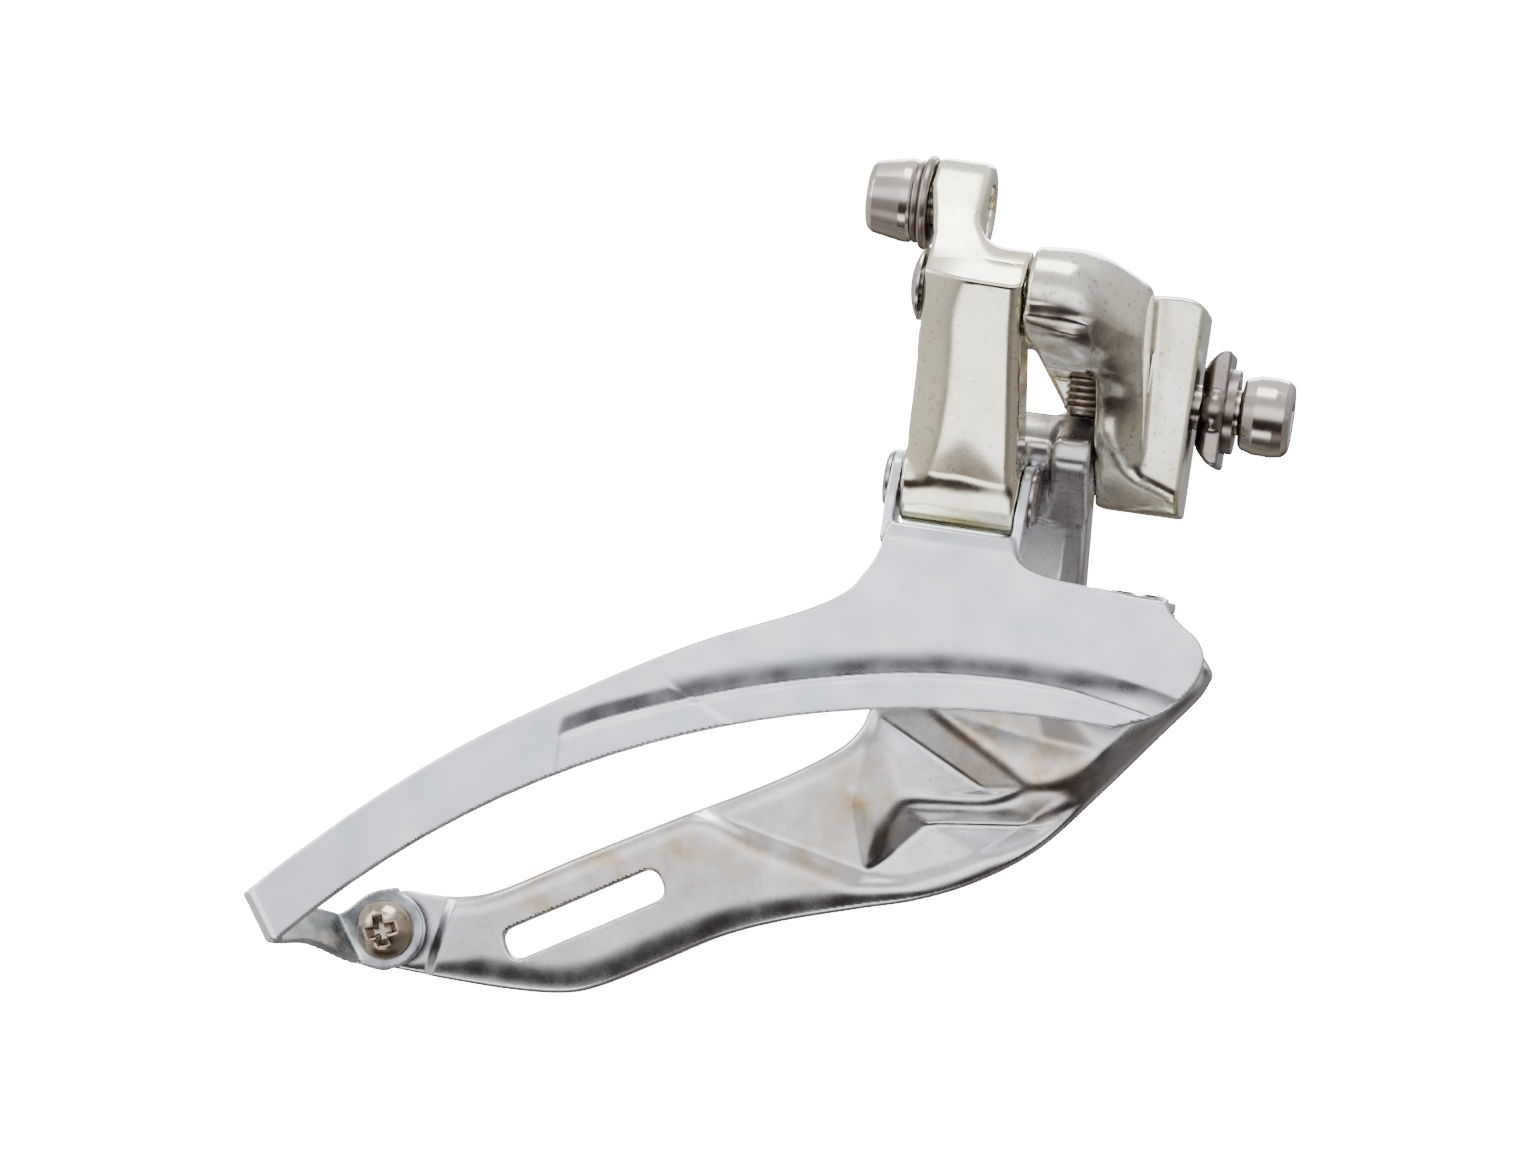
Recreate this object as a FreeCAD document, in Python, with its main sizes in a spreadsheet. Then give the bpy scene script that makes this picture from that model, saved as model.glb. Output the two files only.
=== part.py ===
import FreeCAD, Part
import math
import os
from FreeCAD import Vector

# Front derailleur, fixing-bolt mount.  Row frame: origin where the fixing-bolt axis meets the
# bracket's mounting face, +X forward along the bolt, +Y inboard, +Z up.  Millimetres.

doc = FreeCAD.newDocument("front_derailleur")

SIZES = (
    # the four-bar linkage: pivots all run along X
    ("outerPivotAcross", -19.0),
    ("outerPivotUp", 8.0),
    ("linkLength", 23.4),
    ("restAngle", 29.0),
    ("pivotSpacingAcross", 16.0),
    ("pivotSpacingUp", -15.3),
    ("pinRadius", 2.0),
    ("bushBore", 2.06),
    ("bushRadius", 3.0),
    # outer link
    ("linkLeft", -28.3),
    ("linkWidth", 10.9),
    ("linkFootLeft", -29.15),
    ("linkFootWidth", 12.35),
    ("linkBarrelRadius", 4.8),
    ("linkFootRadius", 4.3),
    ("linkBack", 2.3),
    ("armLeft", -30.0),
    ("armWidth", 6.7),
    ("armAcross", 11.46),
    ("armUp", 4.17),
    ("armRadius", 5.0),
    ("cableGrooveRadius", 0.65),
    # inner link
    ("innerLeft", -16.5),
    ("innerWidth", 6.7),
    ("shelfLeft", -19.3),
    ("shelfWidth", 9.5),
    ("shelfUp", 4.2),
    ("innerHalfThickness", 2.5),
    ("innerBarrelRadius", 3.3),
    ("noseAcross", -5.8),
    ("noseUp", 1.5),
    # bracket
    ("mountCurve", 16.0),
    ("bracketBarrelLeft", -17.15),
    ("bracketBarrelRadius", 5.0),
    ("bracketBarrelWidth", 9.0),
    ("columnLeft", -9.6),
    ("columnBottom", -12.1),
    ("columnTop", 11.3),
    ("columnNear", -8.0),
    ("columnDepth", 15.0),
    ("shoulderWidth", 7.6),
    ("boltRadius", 2.5),
    ("boltTip", -8.6),
    ("headNear", 4.9),
    ("headFar", 10.2),
    ("headRadius", 4.25),
    ("headEndRadius", 3.5),
    ("hexAcross", 4.0),
    ("hexDepth", 3.2),
    ("rearEarLeft", -27.0),
    ("rearEarWidth", 2.3),
    # limit screws
    ("limitScrewX", -11.6),
    ("highScrewAcross", -7.2),
    ("lowScrewAcross", 1.2),
    ("screwSeat", 9.0),
    ("limitScrewRadius", 2.0),
    ("limitScrewBore", 2.06),
    # cage
    ("outerPlateAcross", -12.8),
    ("plateThickness", 1.15),
    ("innerPlateAcross", 0.4),
    ("flangeDepth", 3.2),
    ("stepDepth", 0.7),
    ("lowerArcX", -8.2),
    ("lowerArcZ", -144.86),
    ("lowerArcRadius", 109.6),
    ("leftEarX", -30.6),
    ("rightEarX", -16.55),
    ("earRadius", 3.4),
    ("tailScrewX", -81.0),
    ("tailScrewZ", -69.8),
    ("tailScrewRadius", 2.0),
    ("springWire", 0.5),
    ("springRadius", 3.2),
)

sheet = doc.addObject("Spreadsheet::Sheet", "Sizes")
for row, (name, value) in enumerate(SIZES, start=1):
    sheet.set("A%d" % row, name)
    sheet.set("B%d" % row, str(value))
    sheet.setAlias("B%d" % row, name)
doc.recompute()


def size(name):
    return float(sheet.get(name))


def bind(item, prop, formula):
    item.setExpression(prop, formula)


def new_body(name, across=None, up=None, turn=None):
    """A PartDesign body placed by formulas on the sheet."""
    body = doc.addObject("PartDesign::Body", name)
    body.Label = name
    if across:
        bind(body, ".Placement.Base.y", across)
    if up:
        bind(body, ".Placement.Base.z", up)
    if turn:
        body.Placement = FreeCAD.Placement(Vector(0, 0, 0), FreeCAD.Rotation(Vector(1, 0, 0), 1))
        bind(body, ".Placement.Rotation.Angle", turn)
    return body


def new_sketch(body, name, plane, offset="0"):
    """A sketch on one of the body's own planes, moved along that plane's normal."""
    sketch = body.newObject("Sketcher::SketchObject", name)
    support = [f for f in body.Origin.OriginFeatures if f.Role == plane + "_Plane"][0]
    sketch.AttachmentSupport = [(support, "")]
    sketch.MapMode = "FlatFace"
    bind(sketch, ".AttachmentOffset.Base.z", offset)
    return sketch


def flat(point):
    return Vector(point[0], point[1], 0)


def draw(sketch, start, steps):
    """A closed outline: each step is a line, an arc through a middle point, or a curve."""
    here = start
    for kind, points in steps:
        ends = [flat(here)] + [flat(p) for p in points]
        if kind == "line":
            edge = Part.LineSegment(ends[0], ends[1])
        elif kind == "arc":
            edge = Part.Arc(ends[0], ends[1], ends[2])
        else:
            edge = Part.BSplineCurve()
            edge.interpolate(ends)
        sketch.addGeometry(edge, False)
        here = points[-1]


def polygon(sketch, points):
    draw(sketch, points[0], [("line", [p]) for p in list(points[1:]) + [points[0]]])


def circle(sketch, centre, radius):
    sketch.addGeometry(Part.Circle(flat(centre), Vector(0, 0, 1), radius), False)


def add(body, kind, sketch, formula, backwards=False, both=False):
    """Pad or pocket a sketch by a length from the sheet."""
    feature = body.newObject("PartDesign::" + kind, sketch.Name + "_" + kind.lower())
    feature.Profile = sketch
    bind(feature, "Length", formula)
    feature.Reversed = backwards
    feature.Midplane = both
    body.Tip = feature
    return feature


def block(body, name, plane, offset, formula, points, kind="Pad", backwards=False):
    sketch = new_sketch(body, name, plane, offset)
    polygon(sketch, points)
    return add(body, kind, sketch, formula, backwards)


def rod(body, name, plane, offset, formula, centre, radius, kind="Pad", backwards=False):
    sketch = new_sketch(body, name, plane, offset)
    circle(sketch, centre, radius)
    return add(body, kind, sketch, formula, backwards)


def turned(body, name, plane, start, steps, axis):
    """A solid of revolution about the sketch's own axis."""
    sketch = new_sketch(body, name, plane)
    draw(sketch, start, steps)
    feature = body.newObject("PartDesign::Revolution", name + "_turn")
    feature.Profile = sketch
    feature.ReferenceAxis = (sketch, [axis])
    feature.Angle = 360
    body.Tip = feature
    return feature


def lines(points):
    return [("line", [p]) for p in points]


def thread(start, end, crest, pitch):
    """Profile points of a row of thread rings from start to end along the axis."""
    root = crest - 0.3
    count = int(abs(end - start) / pitch)
    step = (end - start) / count
    points = []
    for turn in range(count):
        here = start + turn * step
        points.append((here, root))
        points.append((here + 0.3 * step, crest))
        points.append((here + 0.6 * step, crest))
    points.append((end, root))
    return points


def hexagon(sketch, across_flats):
    corner = across_flats / math.sqrt(3)
    angles = [math.radians(60 * k) for k in range(6)]
    polygon(sketch, [(corner * math.cos(a), corner * math.sin(a)) for a in angles])


def ring(name, across, up, left, width, inner, outer, turn=None):
    """A bush or a washer on an axis along X."""
    body = new_body(name, across, up, turn)
    sketch = new_sketch(body, name + "_face", "YZ", left)
    circle(sketch, (0, 0), outer)
    circle(sketch, (0, 0), inner)
    add(body, "Pad", sketch, width)
    return body


# where the four pivots and the cable bolt are at rest, as formulas on the sheet
UPPER_OUTER = ("Sizes.outerPivotAcross", "Sizes.outerPivotUp")
SWING_ACROSS = "Sizes.linkLength * sin(Sizes.restAngle)"
SWING_DOWN = "Sizes.linkLength * cos(Sizes.restAngle)"
LOWER_OUTER = (UPPER_OUTER[0] + " + " + SWING_ACROSS, UPPER_OUTER[1] + " - " + SWING_DOWN)
UPPER_INNER = (UPPER_OUTER[0] + " + Sizes.pivotSpacingAcross",
               UPPER_OUTER[1] + " + Sizes.pivotSpacingUp")
LOWER_INNER = (UPPER_INNER[0] + " + " + SWING_ACROSS, UPPER_INNER[1] + " - " + SWING_DOWN)
ARM_END = (UPPER_OUTER[0] + " + Sizes.armAcross * cos(Sizes.restAngle)"
           " - Sizes.armUp * sin(Sizes.restAngle)",
           UPPER_OUTER[1] + " + Sizes.armAcross * sin(Sizes.restAngle)"
           " + Sizes.armUp * cos(Sizes.restAngle)")

REST = math.radians(size("restAngle"))
A = (size("outerPivotAcross"), size("outerPivotUp"))
B = (A[0] + size("pivotSpacingAcross"), A[1] + size("pivotSpacingUp"))
C = (A[0] + size("linkLength") * math.sin(REST), A[1] - size("linkLength") * math.cos(REST))
D = (C[0] + size("pivotSpacingAcross"), C[1] + size("pivotSpacingUp"))


def make_bracket():
    body = new_body("bracket")
    left = size("columnLeft")
    top = size("columnTop")
    bottom = size("columnBottom")
    # the upright column that carries the mounting face, with its ends eased
    column = new_sketch(body, "column", "XZ", "-Sizes.columnNear")
    draw(column, (left, bottom + 1.5), [
        ("arc", [(left + 0.5, bottom + 0.5), (left + 1.5, bottom)]),
        ("line", [(0.4, bottom)]),
        ("arc", [(1.3, bottom + 0.4), (1.7, bottom + 1.3)]),
        ("line", [(1.7, top - 2.5)]),
        ("arc", [(1.0, top - 0.9), (-0.8, top - 0.2)]),
        ("line", [(-6.5, top)]),
        ("line", [(left, top - 0.5)]),
        ("line", [(left, bottom + 1.5)])])
    add(body, "Pad", column, "Sizes.columnDepth", backwards=True)
    # the barrel round the upper outer pin, and the shoulder that joins it to the column
    rod(body, "barrel", "YZ", "Sizes.bracketBarrelLeft", "Sizes.bracketBarrelWidth",
        A, size("bracketBarrelRadius"))
    block(body, "shoulder", "YZ", "Sizes.columnLeft", "Sizes.shoulderWidth", (
        (A[0] - 4.6, A[1] - 1.5), (A[0] - 3.9, A[1] + 3.1), (A[0], A[1] + 5.0),
        (-12.5, 12.4), (-7.0, top), (-7.0, bottom + 0.3), (-8.6, bottom + 0.6),
        (-11.5, -5.0), (-15.5, 0.8), (A[0] - 2.5, A[1] - 4.3)))
    # bosses for the two limit screws, the low one reaching further down
    seat = size("screwSeat")
    block(body, "highBoss", "XZ", "15.2", "10.7", (
        (-16.6, 3.9), (-15.0, 1.2), (-9.2, 1.2), (-9.2, seat), (-16.6, seat)), backwards=True)
    block(body, "lowBoss", "XZ", "5.1", "9.7", (
        (-18.0, 3.7), (-13.6, -2.4), (-8.5, -2.4), (-8.5, seat), (-15.4, seat), (-18.0, 6.2)),
        backwards=True)
    # the wing behind the outer link, and the ear that holds the far end of the inner pin
    block(body, "wing", "XZ", "8.8", "9.8", (
        (-27.0, 3.8), (-15.0, 3.8), (-15.0, 5.8), (-27.0, 5.8)), backwards=True)
    ear = new_sketch(body, "rearEar", "YZ", "Sizes.rearEarLeft")
    draw(ear, (B[0] - 3.5, B[1]), [
        ("arc", [(B[0], B[1] - 3.5), (B[0] + 3.5, B[1])]),
        ("line", [(B[0] + 4.0, 4.8)]),
        ("line", [(B[0] + 3.0, 5.8)]),
        ("line", [(-8.8, 5.8)]),
        ("line", [(-8.8, 4.2)]),
        ("line", [(B[0] - 3.5, B[1])])])
    add(body, "Pad", ear, "Sizes.rearEarWidth")
    # hollow mounting face, curved about an upright axis
    rod(body, "mountFace", "XY", "-30", "60", (size("mountCurve"), 0), size("mountCurve"),
        "Pocket", backwards=True)
    rod(body, "boltHole", "YZ", "-9.1", "12", (0, 0), size("boltRadius"), "Pocket", backwards=True)
    rod(body, "outerPinHole", "YZ", "-17.5", "8.9", A, size("pinRadius"), "Pocket",
        backwards=True)
    rod(body, "innerPinHole", "YZ", "-28", "23.8", B, size("pinRadius"), "Pocket", backwards=True)
    for name, across in (("highScrew", "highScrewAcross"), ("lowScrew", "lowScrewAcross")):
        spot = (size("limitScrewX"), size(across))
        rod(body, name + "Hole", "XY", "-4", "14", spot, size("limitScrewBore"), "Pocket",
            backwards=True)
        rod(body, name + "Recess", "XY", "Sizes.screwSeat", "6", spot, 3.6, "Pocket",
            backwards=True)
    return body


def make_fixing_bolt():
    body = new_body("fixing_bolt")
    near, far = size("headNear"), size("headFar")
    wide, narrow = size("headRadius"), size("headEndRadius")
    tip = size("boltTip")
    steps = lines([(tip, 2.0)] + thread(tip + 0.4, near - 0.1, size("boltRadius"), 0.8))
    steps += lines([(near, 2.2), (near, wide - 0.25)])
    steps += [("arc", [(near + 0.08, wide - 0.07), (near + 0.3, wide)])]
    steps += lines([(far - 1.1, narrow + 0.1)])
    steps += [("arc", [(far - 0.35, narrow - 0.35), (far, narrow - 1.2)])]
    steps += lines([(far, 0), (tip, 0)])
    turned(body, "boltProfile", "XZ", (tip, 0), steps, "H_Axis")
    socket = new_sketch(body, "boltSocket", "YZ", "Sizes.headFar")
    hexagon(socket, size("hexAcross"))
    add(body, "Pocket", socket, "Sizes.hexDepth")
    return body


def make_saddle_washer():
    body = new_body("saddle_washer")
    half = 6.2
    curve = size("mountCurve") - 0.03
    edge = curve - math.sqrt(curve * curve - half * half) + 0.03
    sketch = new_sketch(body, "saddlePlan", "XY", "-6.3")
    draw(sketch, (edge, -half), [
        ("line", [(3.2, -half)]),
        ("line", [(3.2, half)]),
        ("line", [(edge, half)]),
        ("arc", [(0.03, 0), (edge, -half)])])
    add(body, "Pad", sketch, "12.6")
    rod(body, "saddleHole", "YZ", "-1", "6", (0, 0), 2.7, "Pocket", backwards=True)
    return body


def dome(name, across, up, left, tip, head_radius, head_width):
    """A pin on an axis along X with a domed head at its rear end."""
    body = new_body(name, across, up)
    shaft = size("pinRadius")
    steps = [("arc", [(left + 0.25 * head_width, 0.62 * head_radius),
                      (left + 0.8 * head_width, head_radius)])]
    steps += lines([(left + head_width, head_radius), (left + head_width, shaft),
                    (tip - 0.4, shaft), (tip, shaft - 0.4), (tip, 0), (left, 0)])
    turned(body, name + "_profile", "XZ", (left, 0), steps, "H_Axis")
    return body


def headed_pin(name, across, up, left, right):
    """A pin swaged over at both ends."""
    body = new_body(name, across, up)
    shaft = size("pinRadius")
    head = shaft + 1.2
    steps = lines([(left, head - 0.5), (left + 0.35, head), (left + 0.65, head),
                   (left + 0.65, shaft), (right - 0.65, shaft), (right - 0.65, head),
                   (right - 0.35, head), (right, head - 0.5), (right, 0), (left, 0)])
    turned(body, name + "_profile", "XZ", (left, 0), steps, "H_Axis")
    return body


def make_spring():
    """Torsion spring round the upper inner pin: one leg up under the wing, one end in the link."""
    body = new_body("return_spring", *UPPER_INNER)
    wire = size("springWire")
    radius = size("springRadius")
    start = -23.9
    pitch = 1.06
    travel = 3.75 * pitch
    sketch = new_sketch(body, "springWireFace", "XY")
    circle(sketch, (start, -radius), wire)
    helix = body.newObject("PartDesign::AdditiveHelix", "springCoil")
    helix.Profile = sketch
    helix.ReferenceAxis = (sketch, ["H_Axis"])
    helix.Mode = 0
    helix.Pitch = pitch
    helix.Height = travel
    body.Tip = helix
    rod(body, "springLeg", "XY", "-0.05", "10.9", (start, -radius), wire)
    rod(body, "springEnd", "YZ", "%g" % (start + travel - 0.1), "0.55", (0, radius), wire)
    return body


def make_limit_screw(name, across, gap):
    body = doc.addObject("PartDesign::Body", name)
    body.Label = name
    bind(body, ".Placement.Base.x", "Sizes.limitScrewX")
    bind(body, ".Placement.Base.y", "Sizes." + across)
    tip = B[1] + size("shelfUp") + gap
    seat = size("screwSeat") + 0.1
    profile = [(1.5, tip)]
    rings = thread(tip + 0.3, seat - 0.6, size("limitScrewRadius"), 0.7)
    profile += [(r, z) for z, r in rings]
    profile += [(1.9, seat), (3.0, seat), (3.15, seat + 0.3), (3.15, seat + 1.9),
                (2.6, seat + 2.7), (0, seat + 2.9), (0, tip)]
    turned(body, name + "_profile", "XZ", (0, tip), lines(profile), "V_Axis")
    for turn, (wide, deep) in enumerate(((2.1, 0.5), (0.5, 2.1))):
        block(body, "%s_slot%d" % (name, turn), "XY", "Sizes.screwSeat + 3.2", "1.9", (
            (-wide, -deep), (wide, -deep), (wide, deep), (-wide, deep)), "Pocket")
    return body


def make_outer_link():
    body = new_body("outer_link", *UPPER_OUTER, turn="Sizes.restAngle")
    length = size("linkLength")
    barrel = size("linkBarrelRadius")
    foot = size("linkFootRadius")
    back = size("linkBack")
    rod(body, "linkBarrel", "YZ", "Sizes.linkLeft", "Sizes.linkWidth", (0, 0), barrel)
    block(body, "linkShank", "YZ", "Sizes.linkLeft", "Sizes.linkWidth", (
        (-barrel, 0), (-barrel + 0.9, -11), (-foot, -length), (back, -length), (back, 0)))
    sole = new_sketch(body, "linkFoot", "YZ", "Sizes.linkFootLeft")
    draw(sole, (-foot, -length), [
        ("arc", [(-0.5 * foot, -length - 0.85 * foot), (back, -length - 2.6)]),
        ("line", [(back, -length + 12)]),
        ("line", [(-barrel + 0.9, -length + 12)]),
        ("line", [(-foot, -length)])])
    add(body, "Pad", sole, "Sizes.linkFootWidth")
    # the cable arm, up and inboard from the upper pivot
    reach = (size("armAcross"), size("armUp"))
    span = math.hypot(*reach)
    along = (reach[0] / span, reach[1] / span)
    side = (-along[1], along[0])
    half = size("armRadius")

    def arm_point(forward, sideways):
        return (forward * along[0] + sideways * side[0], forward * along[1] + sideways * side[1])

    arm = new_sketch(body, "cableArm", "YZ", "Sizes.armLeft")
    draw(arm, arm_point(0, half - 0.4), [
        ("arc", [arm_point(-half + 0.4, 0), arm_point(0, 0.7 - half)]),
        ("line", [arm_point(span, -half)]),
        ("arc", [arm_point(span + half, 0), arm_point(span, half)]),
        ("line", [arm_point(0, half - 0.4)])])
    add(body, "Pad", arm, "Sizes.armWidth")
    trim = new_sketch(body, "pinHeadRoom", "YZ", "Sizes.linkLeft")
    circle(trim, (0, 0), 4.9)
    add(body, "Pocket", trim, "4")
    rod(body, "upperBushHole", "YZ", "-31", "15", (0, 0), size("bushRadius"), "Pocket", True)
    rod(body, "lowerBushHole", "YZ", "-31", "15", (0, -length), size("bushRadius"), "Pocket",
        True)
    rod(body, "cableBoltHole", "YZ", "-31", "9", reach, size("boltRadius"), "Pocket", True)
    # U-shaped groove across the arm's rear face for the cable, closed by the clamp plate
    groove = new_sketch(body, "cableGroove", "XY", "-20")
    bore = size("cableGrooveRadius")
    centre = (size("armLeft") + bore, reach[0] + 3.3)
    draw(groove, (centre[0], centre[1] - bore), [
        ("arc", [(centre[0] + bore, centre[1]), (centre[0], centre[1] + bore)]),
        ("line", [(centre[0] - 3, centre[1] + bore)]),
        ("line", [(centre[0] - 3, centre[1] - bore)]),
        ("line", [(centre[0], centre[1] - bore)])])
    add(body, "Pocket", groove, "50", backwards=True)
    return body


def make_cable_bolt():
    body = new_body("cable_bolt", *ARM_END, turn="Sizes.restAngle")
    end, near = -36.9, -32.0
    tip = -24.4
    steps = [("line", [(end, 2.3)]),
             ("arc", [(end + 0.3, 3.05), (end + 0.9, 3.45)])]
    steps += lines([(near - 0.3, 4.1)])
    steps += [("arc", [(near - 0.08, 4.05), (near, 3.85)])]
    steps += lines([(near, 2.2)] + thread(near + 0.1, tip - 0.4, size("boltRadius"), 0.8))
    steps += lines([(tip, 2.0), (tip, 0), (end, 0)])
    turned(body, "cableBoltProfile", "XZ", (end, 0), steps, "H_Axis")
    socket = new_sketch(body, "cableBoltSocket", "YZ", "%g" % end)
    hexagon(socket, size("hexAcross"))
    add(body, "Pocket", socket, "Sizes.hexDepth", backwards=True)
    return body


def rounded_ring(name, across, up, left, right, inner, outer, rounding, turn=None):
    """A washer with a rounded rim, on an axis along X."""
    body = new_body(name, across, up, turn)
    middle = outer - rounding * (1 - math.sqrt(0.5))
    steps = [("line", [(left, outer - rounding)]),
             ("arc", [(left + rounding * (1 - math.sqrt(0.5)), middle),
                      (left + rounding, outer)]),
             ("line", [(right - rounding, outer)]),
             ("arc", [(right - rounding * (1 - math.sqrt(0.5)), middle),
                      (right, outer - rounding)]),
             ("line", [(right, inner)]),
             ("line", [(left, inner)])]
    turned(body, name + "_profile", "XZ", (left, inner), steps, "H_Axis")
    return body


def make_inner_link():
    body = new_body("inner_link", *UPPER_INNER, turn="Sizes.restAngle")
    length = size("linkLength")
    half = size("innerHalfThickness")
    barrel = size("innerBarrelRadius")
    rod(body, "innerBarrel", "YZ", "Sizes.shelfLeft", "Sizes.shelfWidth", (0, 0), barrel)

    def rest(across, up):
        """A point given at rest, seen from the link's own frame."""
        return (across * math.cos(REST) + up * math.sin(REST),
                up * math.cos(REST) - across * math.sin(REST))

    shelf = size("shelfUp")
    block(body, "shelf", "YZ", "Sizes.shelfLeft", "Sizes.shelfWidth", (
        rest(-1.4, shelf), rest(6.0, shelf), rest(6.0, 1.6), rest(2.0, -2.0), rest(-2.6, 0.5)))
    nose = (size("noseAcross"), size("noseUp"))
    block(body, "nose", "YZ", "Sizes.innerLeft", "Sizes.innerWidth", (
        rest(-1.4, shelf), rest(0, 0), rest(-2.0, -2.2), rest(nose[0] + 0.6, nose[1] - 1.2),
        rest(*nose)))
    foot = new_sketch(body, "innerShank", "YZ", "Sizes.innerLeft")
    draw(foot, (-half, 0), [
        ("line", [(-half, -length + 3)]),
        ("line", [(-barrel, -length)]),
        ("arc", [(0, -length - barrel), (barrel, -length)]),
        ("line", [(half, -length + 3)]),
        ("line", [(half, 0)]),
        ("line", [(-half, 0)])])
    add(body, "Pad", foot, "Sizes.innerWidth")
    rod(body, "innerUpperHole", "YZ", "-21", "15", (0, 0), size("bushRadius") - 0.4, "Pocket",
        True)
    rod(body, "innerLowerHole", "YZ", "-21", "15", (0, -length), size("bushRadius") - 0.4,
        "Pocket", True)
    return body


def on_lower_arc(x):
    """Height of the outer plate's lower edge, an arc that follows the large chainring."""
    radius = size("lowerArcRadius")
    return size("lowerArcZ") + math.sqrt(radius ** 2 - (x - size("lowerArcX")) ** 2)


TAIL_TOP = (-93.8, -68.4)
TAIL_LOW = (-90.0, on_lower_arc(-90.0))
ARC_FRONT = (-3.0, on_lower_arc(-3.0))
NECK_TOP = -17.3


def make_outer_plate():
    body = new_body("outer_plate", "Sizes.outerPlateAcross")
    plate = new_sketch(body, "outerOutline", "XZ")
    draw(plate, TAIL_TOP, [
        ("line", [TAIL_LOW]),
        ("arc", [(-46.0, on_lower_arc(-46.0)), ARC_FRONT]),
        ("curve", [(1.8, -33.2), (4.7, -30.0), (5.5, -27.0)]),
        ("curve", [(4.6, -24.9), (2.6, -23.3), (0.4, -21.7)]),
        ("line", [(-7.9, -20.9)]),
        ("curve", [(-12.3, -20.5), (-15.2, -19.6), (-16.4, NECK_TOP)]),
        ("line", [(-30.3, NECK_TOP)]),
        ("curve", [(-30.5, -20.9), (-33.1, -25.3), (-39.8, -28.8)]),
        ("arc", [(-67.6, -43.6), TAIL_TOP])])
    add(body, "Pad", plate, "Sizes.plateThickness", backwards=True)

    def band(sketch):
        """The strip along the lower edge that is pressed inboard."""
        draw(sketch, (-62.0, -45.0), [
            ("curve", [(-48.2, -39.2), (-32.5, -34.6), (-19.0, -32.5), (-9.1, -32.0)]),
            ("line", [ARC_FRONT]),
            ("arc", [(-32.0, on_lower_arc(-32.0)), (-60.5, on_lower_arc(-60.5))]),
            ("line", [(-62.0, -45.0)])])

    rear = new_sketch(body, "bandRear", "XZ", "-Sizes.plateThickness")
    band(rear)
    add(body, "Pad", rear, "Sizes.stepDepth", backwards=True)
    front = new_sketch(body, "bandFront", "XZ")
    band(front)
    add(body, "Pocket", front, "Sizes.stepDepth")
    # two ears folded inboard round the lower outer pivot
    near = 0.0
    pivot = (C[0] - size("outerPlateAcross"), C[1])
    ear = size("earRadius")
    for name, left in (("leftEar", "Sizes.leftEarX"), ("rightEar", "Sizes.rightEarX")):
        sketch = new_sketch(body, name, "YZ", left)
        draw(sketch, (near, -21.0), [
            ("line", [(near, C[1] - 1.5)]),
            ("line", [(pivot[0] - ear, pivot[1])]),
            ("arc", [(pivot[0], pivot[1] + ear), (pivot[0] + ear, pivot[1])]),
            ("curve", [(pivot[0] + 1.0, pivot[1] - 4.2), (near + 1.15, -21.0)]),
            ("line", [(near, -21.0)])])
        add(body, "Pad", sketch, "Sizes.plateThickness")
        rod(body, name + "Hole", "YZ", left + " - 0.5", "2.2", pivot, size("pinRadius"),
            "Pocket", True)
    # the bridge over the front of the chain path
    block(body, "bridge", "XZ", "0", "14.5", (
        (-6.5, -21.3), (-6.5, -22.45), (0.6, -22.45), (0.6, -21.3)), backwards=True)
    for name, x in (("rearRivetHole", -4.6), ("frontRivetHole", -1.2)):
        rod(body, name, "XY", "-30", "15", (x, 7.3), 1.0, "Pocket", True)
    # the slanted strip across the tail and the tab under the screw
    first = new_sketch(body, "tailStart", "XZ", "0")
    polygon(first, (TAIL_TOP, TAIL_LOW, (TAIL_LOW[0] + 1.1, TAIL_LOW[1] + 1.1),
                    (TAIL_TOP[0] + 1.1, TAIL_TOP[1] + 1.1)))
    last = new_sketch(body, "tailEnd", "XZ", "-12.9")
    polygon(last, ((-87.8, -68.6), (-84.2, -74.0), (-82.9, -73.3), (-86.5, -67.9)))
    loft = body.newObject("PartDesign::AdditiveLoft", "tailStrip")
    loft.Profile = first
    loft.Sections = [last]
    loft.Ruled = True
    body.Tip = loft
    tab = new_sketch(body, "tailTab", "XZ", "-11.75")
    centre = (size("tailScrewX"), size("tailScrewZ"))
    draw(tab, (-87.4, -69.0), [
        ("line", [(-83.8, -74.2)]),
        ("line", [(centre[0] + 1.0, centre[1] - 4.3)]),
        ("arc", [(centre[0] + 4.4, centre[1]), (centre[0], centre[1] + 4.4)]),
        ("curve", [(-83.6, -65.9), (-87.4, -69.0)])])
    add(body, "Pad", tab, "Sizes.plateThickness", backwards=True)
    rod(body, "tailScrewHole", "XZ", "-9", "6", centre, size("tailScrewRadius"), "Pocket")
    return body


LOWER_EDGE = ((5.7, -28.3), (4.3, -31.3), (0.0, -36.3), (-5.3, -44.7), (-13.1, -52.0),
              (-19.2, -55.7), (-28.7, -58.8), (-39.4, -62.8), (-47.7, -68.0), (-54.0, -71.5),
              (-60.6, -73.5), (-67.4, -74.3), (-76.0, -73.9))
UPPER_EDGE = ((-76.8, -65.5), (-72.3, -64.4), (-65.9, -60.8), (-54.4, -53.6), (-48.0, -50.8),
              (-41.7, -47.2), (-37.6, -44.2), (-30.7, -37.8), (-26.0, -30.0), (-20.5, -25.0))


def inset(points, distance):
    """The points moved sideways, to the left of the direction of travel."""
    moved = []
    for k, here in enumerate(points):
        ahead = points[min(k + 1, len(points) - 1)]
        behind = points[max(k - 1, 0)]
        run = (ahead[0] - behind[0], ahead[1] - behind[1])
        span = math.hypot(*run)
        moved.append((here[0] + distance * run[1] / span, here[1] - distance * run[0] / span))
    return moved


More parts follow.
